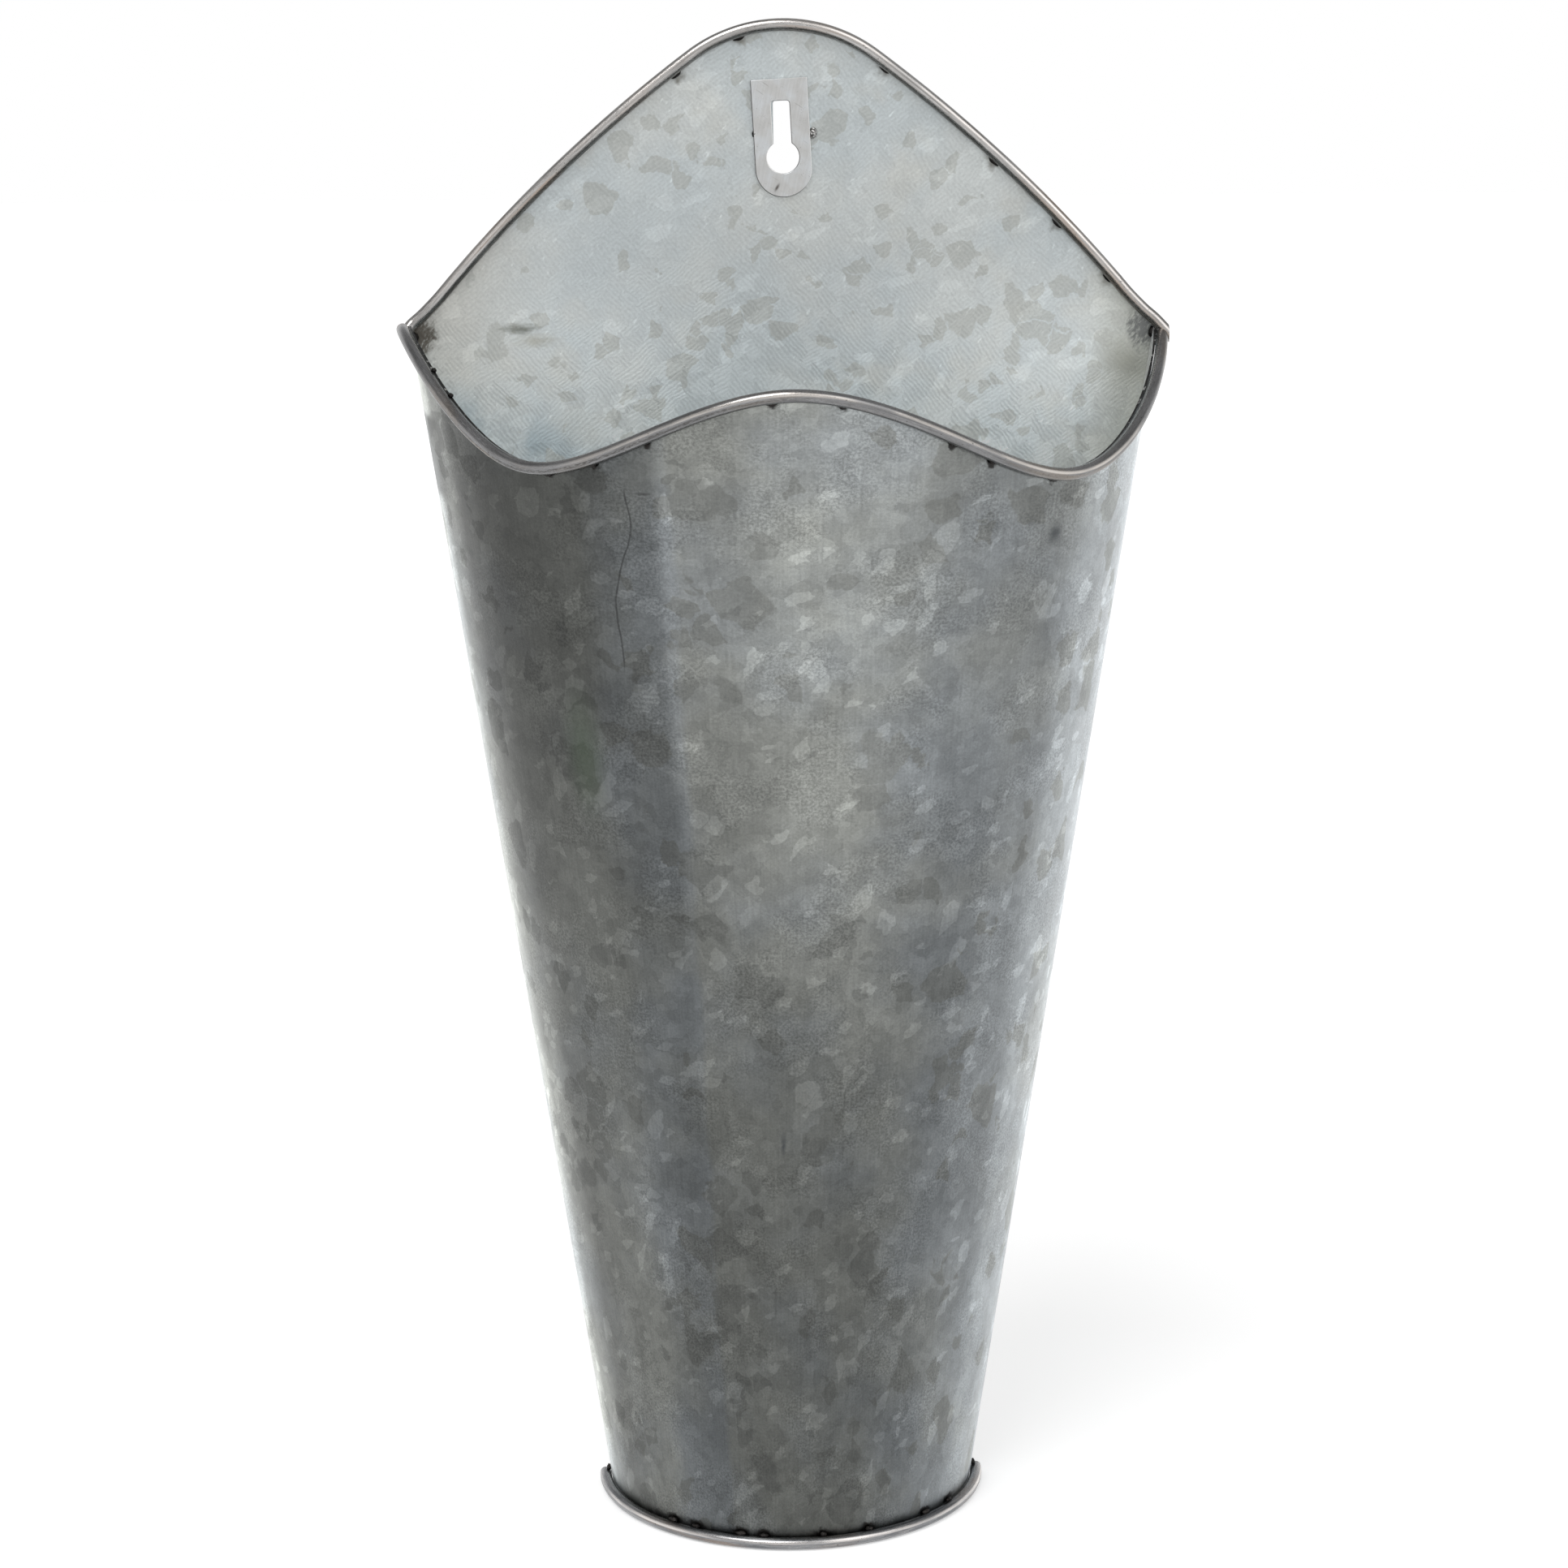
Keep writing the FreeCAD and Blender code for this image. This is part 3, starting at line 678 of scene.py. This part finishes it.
def panel_zinc():
    """Bright spangled zinc: pale blue-grey, with rolling lines and a few duller, warmer crystals."""
    paint = Paint("panel_zinc", metallic=0.75)
    place = paint.place()
    x, y, z = paint.parts(place)
    flat = paint.upright(place)
    inside = paint.span(y, 0.2 * PANEL_FRONT, 0.8 * PANEL_FRONT)
    crystal = crystals(paint, flat, 260.0, 0.0030)
    lines = paint.first(paint.mix(paint.math("GREATER_THAN", crystal, 0.55),
                                  paint.grey(stripes(paint, flat, 40.0, 0.0011)),
                                  paint.grey(stripes(paint, flat, 128.0, 0.0010))))
    cloud = paint.noise(flat, 30.0)
    dust = paint.noise(flat, 1300.0, 3.0, 0.65)
    flecks = paint.streaks(flat, (700.0, 260.0), 2.0, 0.5, math.radians(35.0))
    tone = paint.times(paint.span(crystal, 0.0, 1.0, 0.94, 1.05), paint.plus(paint.times(lines, 0.030), 1.0))
    tone = paint.times(tone, paint.span(cloud, 0.3, 0.7, 0.96, 1.04))
    tone = paint.times(tone, paint.span(dust, 0.3, 0.7, 0.93, 1.07))
    tone = paint.times(tone, paint.span(flecks, 0.66, 0.76, 1.0, 1.22))

    warm = paint.noise(flat, 46.0)
    right_edge = paint.span(x, 0.074, 0.094)
    left_corner = paint.times(paint.span(x, -0.060, -0.088), paint.span(z, -0.075, -0.040))
    low_left = paint.times(paint.span(paint.plus(z, paint.times(x, 0.3)), -0.080, -0.094),
                           paint.times(paint.span(warm, 0.40, 0.55), paint.span(x, -0.045, -0.065)))
    colour = paint.mix(paint.span(cloud, 0.40, 0.62), PANEL_COOL, PANEL_PLAIN)
    colour = paint.mix(paint.span(warm, 0.52, 0.72, 0.0, 0.6), colour, PANEL_WARM)
    colour = paint.cover(colour, right_edge, 0.75, PANEL_OLIVE)
    colour = paint.cover(colour, left_corner, 0.75, PANEL_CREAM)
    colour = paint.mix(paint.times(low_left, paint.times(inside, 0.75)), colour, PANEL_BLUE)
    dull = paint.most([patches(paint, flat, 150.0, 0.0050, 0.10), patches(paint, flat, 270.0, 0.0030, 0.08)])
    colour = paint.cover(paint.shade(colour, tone), dull, 0.62, paint.shade(PANEL_DULL, tone))
    pale = patches(paint, paint.moved(flat, (0.8, 1.3, 1.0), -0.4), 240.0, 0.0035, 0.09)
    colour = paint.shade(colour, paint.plus(1.0, paint.times(pale, 0.10)))
    # Deeper inside the mouth less light reaches the sheet, so it is painted paler there: painted light.
    painted_light_deep = paint.times(inside, paint.span(z, -0.020, -0.082, 0.0, DEEP_PAINTED_LIGHT_GAIN - 1.0))
    colour = panel_marks(paint, paint.shade(colour, paint.plus(painted_light_deep, 1.0)), place, flat)

    ridges = paint.plus(paint.times(lines, 0.3), paint.plus(paint.times(crystal, 0.3), dust))
    paint.bump(ridges, 0.00005, 0.5)
    return paint.finish(colour, paint.span(crystal, 0.0, 1.0, 0.38, 0.48))


def panel_marks(paint, colour, place, flat):
    """Burns and a stale spot by the corner welds, a smear on the left, and a stain at every bead."""
    frayed = paint.warp(place, 420.0, 0.0050)
    stale = paint.near(paint.warp(place, 120.0, 0.0060), (0.0893, PANEL_FRONT, -0.0535), 0.0100)
    colour = paint.cover(colour, stale, 0.6, STALE_BEIGE)
    fibre = paint.span(paint.streaks(flat, (1500.0, 500.0), 3.0, 0.65, 0.6), 0.30, 0.70, 0.45, 1.25)
    burn_left = paint.times(paint.near(frayed, (-0.0952, PANEL_FRONT, -0.0452), 0.0078), fibre)
    colour = paint.mix(paint.span(burn_left, 0.05, 0.65, 0.0, 0.9), colour, BURN_BROWN)
    burn_right = paint.times(paint.near(frayed, (0.0945, PANEL_FRONT, -0.0446), 0.0090), fibre)
    colour = paint.mix(paint.span(burn_right, 0.05, 0.80, 0.0, 0.85), colour, BURN_GREY)
    smear = paint.warp(paint.moved(place, (0.62, 1.0, 1.9)), 500.0, 0.004)
    colour = paint.cover(colour, paint.near(smear, (-0.0425, PANEL_FRONT, -0.0830), 0.0042), 0.75, SMEAR_OLIVE)
    colour = paint.cover(colour, paint.near(smear, (-0.0400, PANEL_FRONT, -0.0890), 0.0050), 0.40, SMEAR_TAN)
    stains = []
    for offset in ARCH_TACKS:
        crook = on_arch(offset, -WIRE - 0.0002)
        stains.append(paint.near(frayed, (crook.x, PANEL_FRONT, crook.z), 0.0028))
    return paint.cover(colour, paint.most(stains), 0.7, TACK_BROWN)


def shell_zinc():
    """Zinc in olive-grey and blue-grey upright bands of painted reflection, painted bright at both edges and painted
    darker to the left and low down as painted shade.
    """
    paint = Paint("shell_zinc")
    flat = paint.flat()
    x, height, _ = paint.parts(flat)
    turn = paint.plus(paint.times(x, 1.0 / (UNROLL * math.pi)), 0.5)
    sway = paint.minus(paint.streaks(flat, (30.0, 8.0), 2.0), 0.5)
    turn = paint.plus(turn, paint.times(sway, 0.014))
    # Painted reflections in upright bands round the shell, painted bright at both edges, and painted shade that darkens
    # it to the left and low down.
    tone = paint.mix(paint.span(height, 0.285, 0.085), paint.ramp(turn, UPPER_PAINTED_REFLECTIONS),
                     paint.ramp(turn, LOWER_PAINTED_REFLECTIONS))
    # An olive block of tarnish at the left edge, just under the rim.
    block = paint.times(paint.span(height, 0.2760, 0.2800), paint.span(height, 0.3000, 0.2975))
    tone = paint.cover(tone, paint.times(block, paint.span(turn, 0.13, 0.08)), 0.8, TARNISH)

    crystal = crystals(paint, flat, 150.0, 0.0045)
    small = crystals(paint, flat, 400.0, 0.0020)
    grain = paint.streaks(flat, (1500.0, 60.0), 3.0, 0.6)
    dust = paint.noise(flat, 1500.0, 3.0, 0.7)
    cloud = paint.noise(flat, 38.0, 5.0, 0.62, 0.6)
    speckled = paint.span(paint.noise(flat, 44.0, 4.0, 0.6), 0.46, 0.58, 0.35, 1.0)
    specks = paint.times(paint.span(dust, 0.35, 0.65, -0.24, 0.22), speckled)
    dark = paint.most([patches(paint, flat, 95.0, 0.0080, 0.09), patches(paint, flat, 170.0, 0.0050, 0.07)])
    pale = paint.most([patches(paint, paint.moved(flat, (1.3, 0.8, 1.0), 0.5), 190.0, 0.0040, 0.05),
                       patches(paint, paint.moved(flat, (0.7, 1.2, 1.0), -0.3), 330.0, 0.0026, 0.05)])
    level = paint.times(paint.span(crystal, 0.0, 1.0, 0.90, 1.10), paint.span(grain, 0.25, 0.75, 0.94, 1.06))
    level = paint.times(level, paint.span(cloud, 0.32, 0.68, 0.87, 1.12))
    level = paint.times(level, paint.plus(1.0, specks))
    level = paint.times(level, paint.span(small, 0.0, 1.0, 0.93, 1.07))
    level = paint.times(level, paint.minus(1.0, paint.times(dark, 0.16)))
    level = paint.times(level, paint.plus(1.0, paint.times(pale, 0.28)))

    # The blue-grey and olive-grey tint: painted reflection in the same upright bands, stirred by noise.
    cool = paint.ramp(turn, COOL_PAINTED_REFLECTIONS)
    cool = paint.plus(cool, paint.span(paint.noise(flat, 26.0, 4.0), 0.30, 0.70, -0.38, 0.38))
    tint = paint.cover(paint.mix(paint.span(cool, 0.0, 1.0), OLIVE_TINT, BLUE_TINT), dark, 0.6, DARK_TINT)
    colour = paint.mix(1.0, paint.shade(tone, level), tint, "MULTIPLY")
    colour = shell_soot(paint, shell_marks(paint, colour, flat), flat)

    ridges = paint.plus(paint.times(grain, 0.5), paint.plus(paint.times(crystal, 0.3), dust))
    paint.bump(ridges, 0.00005, 0.5)
    return paint.finish(colour, paint.plus(paint.span(crystal, 0.0, 1.0, 0.34, 0.44), paint.times(dark, 0.08)))


def shell_marks(paint, colour, flat):
    """Marks seen in the photograph: a green cast, two dark spots, and a thin scratch that kinks
    down the left of the front with a nick across its top."""
    marks = paint.warp(flat, 300.0, 0.0020)
    green = paint.near(paint.moved(marks, (1.0, 0.35, 1.0)), (-0.0508, 0.0765, 0.0), 0.0080)
    colour = paint.cover(colour, green, 0.45, GREEN_CAST)
    spot = paint.near(marks, (0.0600, 0.2730, 0.0), 0.0034)
    dash = paint.near(paint.moved(marks, (1.0, 0.30, 1.0)), (-0.0034, 0.0351, 0.0), 0.0012)
    colour = paint.cover(colour, paint.most([spot, dash]), 0.75, SPOT_BLUE)
    nick = paint.near(paint.moved(flat, (0.22, 1.0, 1.0)), (-0.0066, 0.2868, 0.0), 0.0006)
    colour = paint.cover(colour, nick, 0.6, NEAR_BLACK)
    x, height, _ = paint.parts(flat)
    wobble = paint.times(paint.minus(paint.noise(flat, 60.0, 2.0), 0.5), 0.0030)
    kink = paint.span(height, 0.2800, 0.2600)
    off_line = paint.apart(paint.plus(x, wobble), paint.plus(paint.times(kink, -0.0042), -0.0335))
    reach = paint.times(paint.span(height, 0.2880, 0.2865), paint.span(height, 0.2400, 0.2450))
    scratch = paint.times(paint.span(off_line, 0.00036, 0.00006), reach)
    return paint.cover(colour, scratch, 0.60, NEAR_BLACK)


def shell_soot(paint, colour, flat):
    """Soot on the shell by every weld: round at the rim, and drawn out sideways at the base."""
    squeeze = 0.42
    burnt = paint.warp(flat, 500.0, 0.0030)
    low = paint.moved(burnt, (squeeze, 1.0, 1.0))
    soot = []
    for angle in FRONT_TACKS:
        point = (math.radians(angle) * UNROLL, rim_height(angle) - WIRE - 0.0001, 0.0)
        soot.append(paint.near(burnt, point, 0.0019))
    for angle in BASE_TACKS[1:-1]:
        point = (squeeze * math.radians(angle) * UNROLL, 2.0 * WIRE + 0.0004, 0.0)
        soot.append(paint.near(low, point, 0.0026))
    return paint.mix(paint.span(paint.most(soot), 0.10, 0.75, 0.0, 0.92), colour, SOOT)


def inner_zinc():
    """The clean zinc of the sheet's inner face."""
    paint = Paint("inner_zinc", metallic=0.6)
    flat = paint.flat()
    crystal = crystals(paint, flat, 170.0, 0.0050)
    grain = paint.streaks(flat, (900.0, 90.0), 3.0, 0.6)
    tone = paint.times(paint.span(crystal, 0.0, 1.0, 0.90, 1.08), paint.span(grain, 0.25, 0.75, 0.95, 1.05))
    paint.bump(grain, 0.00005, 0.5)
    return paint.finish(paint.shade(INNER_PALE, tone), paint.span(crystal, 0.0, 1.0, 0.38, 0.50))


def cut_edge_painted_shade():
    """The sheet's cut edge, painted dark as painted shade of the groove between the wire and the sheet, with bright
    nicks.
    """
    paint = Paint("cut_edge_painted_shade", metallic=0.8)
    place = paint.place()
    nicks = paint.span(paint.noise(place, 500.0, 4.0, 0.65), 0.56, 0.66)
    return paint.finish(paint.mix(nicks, NEAR_BLACK, EDGE_PALE),
                        paint.span(paint.noise(place, 900.0, 2.0), 0.3, 0.7, 0.4, 0.6))


def drawn_wire(name, bright, dark, brown, shine, dark_line_at=0.0, crest_at=0.0):
    """Bare steel wire: streaks along it, brown tarnish, pits, a painted highlight line and a dark line."""
    paint = Paint(name)
    flat = paint.flat()
    length, around, _ = paint.parts(flat)
    streak = paint.streaks(flat, (60.0, 9.0), 4.0, 0.6)
    fine = paint.streaks(flat, (700.0, 40.0), 3.0, 0.65)
    stain = paint.streaks(flat, (38.0, 1.5))
    pits = paint.noise(paint.place(), 1400.0, 3.0, 0.6)
    colour = paint.mix(paint.span(streak, 0.35, 0.65), dark, bright)
    colour = paint.mix(paint.span(stain, 0.48, 0.70, 0.0, 0.75), colour, brown)
    colour = paint.shade(colour, paint.span(fine, 0.25, 0.75, 0.86, 1.12))
    # A painted highlight line round the wire, broken where the tarnish streaks lie.
    painted_highlight = paint.times(paint.span(paint.apart(around, PAINTED_HIGHLIGHT_AROUND), 0.060, 0.015), paint.span(stain, 0.30, 0.62))
    if dark_line_at:
        # On the front rim the painted highlight fades away from the crest.
        painted_highlight = paint.times(painted_highlight, paint.span(paint.apart(length, crest_at), 0.115, 0.060, 0.15, 1.0))
    colour = paint.mix(painted_highlight, colour, shine)
    if dark_line_at:
        # A broken dark line round the wire, on the left part of the front rim.
        broken = paint.span(paint.streaks(flat, (900.0, 30.0), 3.0, 0.7), 0.36, 0.62)
        line = paint.times(paint.span(paint.apart(around, dark_line_at), 0.060, 0.020), broken)
        line = paint.times(line, paint.span(length, crest_at, 0.6 * crest_at, 0.10, 0.75))
        colour = paint.mix(line, colour, DARK_LINE_GREY)
    colour = paint.mix(paint.span(pits, 0.66, 0.74, 0.0, 0.8), colour, PIT_BROWN)
    paint.bump(paint.plus(paint.times(fine, 0.6), paint.times(pits, 0.5)), 0.00004, 0.6)
    return paint.finish(colour, paint.span(fine, 0.2, 0.8, 0.20, 0.34))


def weld_bump(paint, place):
    """The fine roughness of a weld."""
    paint.bump(paint.noise(place, 1600.0, 3.0, 0.6), 0.00020, 0.8)


def weld_metal():
    """Burnt weld, with a few scraped specks."""
    paint = Paint("weld_metal", metallic=0.8)
    place = paint.place()
    patch = paint.noise(place, 900.0, 3.0, 0.6)
    colour = paint.mix(paint.span(patch, 0.40, 0.62), WELD_BLACK, WELD_GREY)
    colour = paint.mix(paint.span(paint.noise(place, 2200.0, 2.0), 0.66, 0.76, 0.0, 0.6), colour, BARE_GREY)
    weld_bump(paint, place)
    return paint.finish(colour, paint.span(patch, 0.3, 0.7, 0.28, 0.6))


def spatter():
    """The pale weld at the keyhole plate's right."""
    paint = Paint("spatter", metallic=0.9)
    place = paint.place()
    pits = paint.span(paint.noise(place, 1900.0, 3.0, 0.6), 0.44, 0.56)
    weld_bump(paint, place)
    return paint.finish(paint.mix(pits, SPATTER_DARK, SPATTER_PALE), paint.span(pits, 0.0, 1.0, 0.5, 0.3))


def hanger_steel():
    """Brushed flat steel, with painted shade on its left and lower edges and a painted highlight on its right."""
    paint = Paint("hanger_steel")
    flat = paint.upright(paint.place())
    brush = paint.streaks(flat, (1800.0, 120.0), 3.0, 0.6, math.radians(12.0))
    cross = paint.streaks(flat, (160.0, 2400.0), 2.0, 0.6, math.radians(35.0))
    cloud = paint.noise(flat, 180.0)
    tone = paint.times(paint.span(brush, 0.25, 0.75, 0.93, 1.06), paint.span(cloud, 0.3, 0.7, 0.88, 1.08))
    colour = paint.shade(paint.mix(paint.span(cloud, 0.4, 0.65), PLATE_WARM, PLATE_COOL), tone)
    colour = paint.mix(paint.span(cross, 0.64, 0.74, 0.0, 0.5), colour, BARE_GREY)
    # Painted shade on the edges that face left and down, and a painted highlight on those that face right and up.
    side, _, rise = paint.parts(paint.add("TexCoord", {}, out="Normal"))
    facing = paint.plus(side, paint.times(rise, 0.45))
    colour = paint.mix(paint.span(facing, -0.15, -0.45, 0.0, 0.9), colour, PAINTED_SHADE_EDGE)
    colour = paint.mix(paint.span(facing, 0.20, 0.50, 0.0, 0.9), colour, PAINTED_HIGHLIGHT_EDGE)
    # A gouge below the hole, and pocks here and there.
    slanted = paint.moved(flat, (1.0, 0.35, 1.0), math.radians(31.0))
    colour = paint.cover(colour, paint.near(slanted, (0.00259, -0.00260, 0.0), 0.0006), 0.9, GOUGE_BROWN)
    pocks = paint.times(paint.span(paint.noise(flat, 2600.0, 2.0, 0.6), 0.62, 0.70),
                        paint.span(paint.noise(flat, 260.0, 2.0), 0.50, 0.60))
    colour = paint.cover(colour, pocks, 0.6, POCK_BROWN)
    paint.bump(brush, 0.00005, 0.6)
    return paint.finish(colour, paint.span(brush, 0.2, 0.8, 0.30, 0.44))


def coat(piece, *materials):
    for material in materials:
        piece.data.materials.append(material)


def recoat(node, material):
    """A new material on a CAD node that stays as it is."""
    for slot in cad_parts[node].material_slots:
        slot.material = material


# ---------------------------------------------------------------- the scene

# The camera as fitted to the photograph, in degrees, metres and, for the lens, millimetres.
CAMERA_AZIMUTH, CAMERA_ELEVATION, CAMERA_ROLL = -1.4007, 12.2739, -0.3515
CAMERA_DISTANCE = 1.0
CAMERA_TARGET = Vector((-0.000736, -0.0006, -0.165677))
SENSOR_WIDTH, LENS = 36.0, 85.766
FLOOR_HALF_WIDTH = 6
FLOOR_DROP = 0.0001                            # keeps the floor clear of the base
FLOOR_WHITE = (0.80, 0.80, 0.80, 1.0)
FLOOR_GLOW = 0.42
HORIZON, OVERHEAD = (0.12, 1.0), (0.62, 0.42)  # how high a ray points, and how white it is there


def show(name, data):
    """A new object in the scene."""
    shown = bpy.data.objects.new(name, data)
    bpy.context.scene.collection.objects.link(shown)
    return shown


def way_to(azimuth, elevation):
    """The way towards an azimuth round the front and an elevation, in degrees."""
    az, el = math.radians(azimuth), math.radians(elevation)
    return Vector((math.sin(az) * math.cos(el), -math.cos(az) * math.cos(el), math.sin(el)))


def aim_camera():
    """Places the camera where the photograph was taken from."""
    back = way_to(CAMERA_AZIMUTH, CAMERA_ELEVATION)
    right = (-back).cross(Z_WAY).normalized()
    up = right.cross(-back)
    roll = math.radians(CAMERA_ROLL)
    axes = (right * math.cos(roll) + up * math.sin(roll), up * math.cos(roll) - right * math.sin(roll), back)
    data = bpy.data.cameras.new("camera")
    data.sensor_width = SENSOR_WIDTH
    data.lens = LENS
    data.clip_start, data.clip_end = 0.05, 60.0
    camera = show("camera", data)
    camera.location = CAMERA_TARGET + back * CAMERA_DISTANCE
    camera.rotation_mode = "QUATERNION"
    camera.rotation_quaternion = Matrix(axes).transposed().to_quaternion()
    bpy.context.scene.camera = camera


def add_sun(name, azimuth, elevation, strength, width):
    """A far, broad and so soft lamp, from an azimuth round the front and an elevation."""
    data = bpy.data.lights.new(name, "SUN")
    data.energy = strength
    data.angle = math.radians(width)
    lamp = show(name, data)
    lamp.rotation_mode = "QUATERNION"
    lamp.rotation_quaternion = way_to(azimuth, elevation).to_track_quat("Z", "Y")


def make_floor():
    """A plain pale floor, which glows white to the camera, in gloss and through glass."""
    h = FLOOR_HALF_WIDTH
    mesh = bpy.data.meshes.new("floor")
    mesh.from_pydata([(-h, -h, 0), (h, -h, 0), (h, h, 0), (-h, h, 0)], [], [(0, 1, 2, 3)])
    floor = show("floor", mesh)
    floor.location.z = BASE_Z - FLOOR_DROP
    material = bpy.data.materials.new("floor_white")
    material.use_nodes = True
    tree = material.node_tree
    tree.nodes.remove(tree.nodes["Principled BSDF"])
    path = tree.nodes.new("ShaderNodeLightPath").outputs
    seen = path["Is Camera Ray"]
    for other in ("Is Glossy Ray", "Is Transmission Ray"):
        seen = new_node(tree, "Math", {0: seen, 1: path[other]}, operation="MAXIMUM")
    level = new_node(tree, "Math", {0: seen, 1: FLOOR_GLOW}, operation="MULTIPLY")
    dull = new_node(tree, "BsdfDiffuse", {"Color": FLOOR_WHITE})
    glow = new_node(tree, "Emission", {"Strength": level})
    both = new_node(tree, "AddShader", {0: dull, 1: glow})
    feed(tree, tree.nodes["Material Output"].inputs["Surface"], both)
    mesh.materials.append(material)


def make_world():
    """White to the camera, and in reflections white round the horizon under a dimmer ceiling."""
    world = bpy.data.worlds.new("studio")
    bpy.context.scene.world = world
    world.use_nodes = True
    tree = world.node_tree
    white = tree.nodes["Background"]
    white.inputs["Color"].default_value = (1.0, 1.0, 1.0, 1.0)
    rise = new_node(tree, "SeparateXYZ", {0: new_node(tree, "TexCoord", {}, out="Generated")}, out=2)
    ceiling = new_node(tree, "MapRange", {0: rise, 1: HORIZON[0], 2: OVERHEAD[0], 3: HORIZON[1], 4: OVERHEAD[1]},
                       interpolation_type="SMOOTHSTEP")
    seen = new_node(tree, "LightPath", {}, out="Is Camera Ray")
    strength = new_node(tree, "Math", {0: ceiling, 1: seen}, operation="MAXIMUM")
    feed(tree, white.inputs["Strength"], strength)


bpy.context.scene.view_settings.view_transform = "Standard"
aim_camera()
make_floor()
make_world()
add_sun("key", -28.0, 56.0, 1.15, 30.0)
add_sun("fill", 42.0, 40.0, 0.45, 40.0)

coat(make_shell(), shell_zinc(), inner_zinc(), cut_edge_painted_shade())
coat(make_front_rim(), drawn_wire("front_rim_steel", *FRONT_STEEL, DARK_LINE_AROUND, CREST_AT))
coat(make_base_rim(), drawn_wire("base_rim_steel", *BASE_STEEL))
coat(make_arch_rim(), drawn_wire("arch_rim_steel", *ARCH_STEEL))
welds = weld_metal()
coat(lumps_round_shell("front_rim_beads", "front_rim_tacks", FRONT_TACKS, rim_height, -1.0, 0.0004, INNER_TACKS), welds)
coat(lumps_round_shell("base_rim_beads", "base_rim_tacks", BASE_TACKS, lambda angle: WIRE, 1.0, 0.0), welds)
coat(make_arch_lumps(), welds)
coat(make_corner_lumps(), welds)
coat(make_hanger_lumps(), welds, spatter())
zinc = panel_zinc()
recoat("back_panel", zinc)
recoat("floor_plate", zinc)
coat(make_keyhole_plate(), hanger_steel())
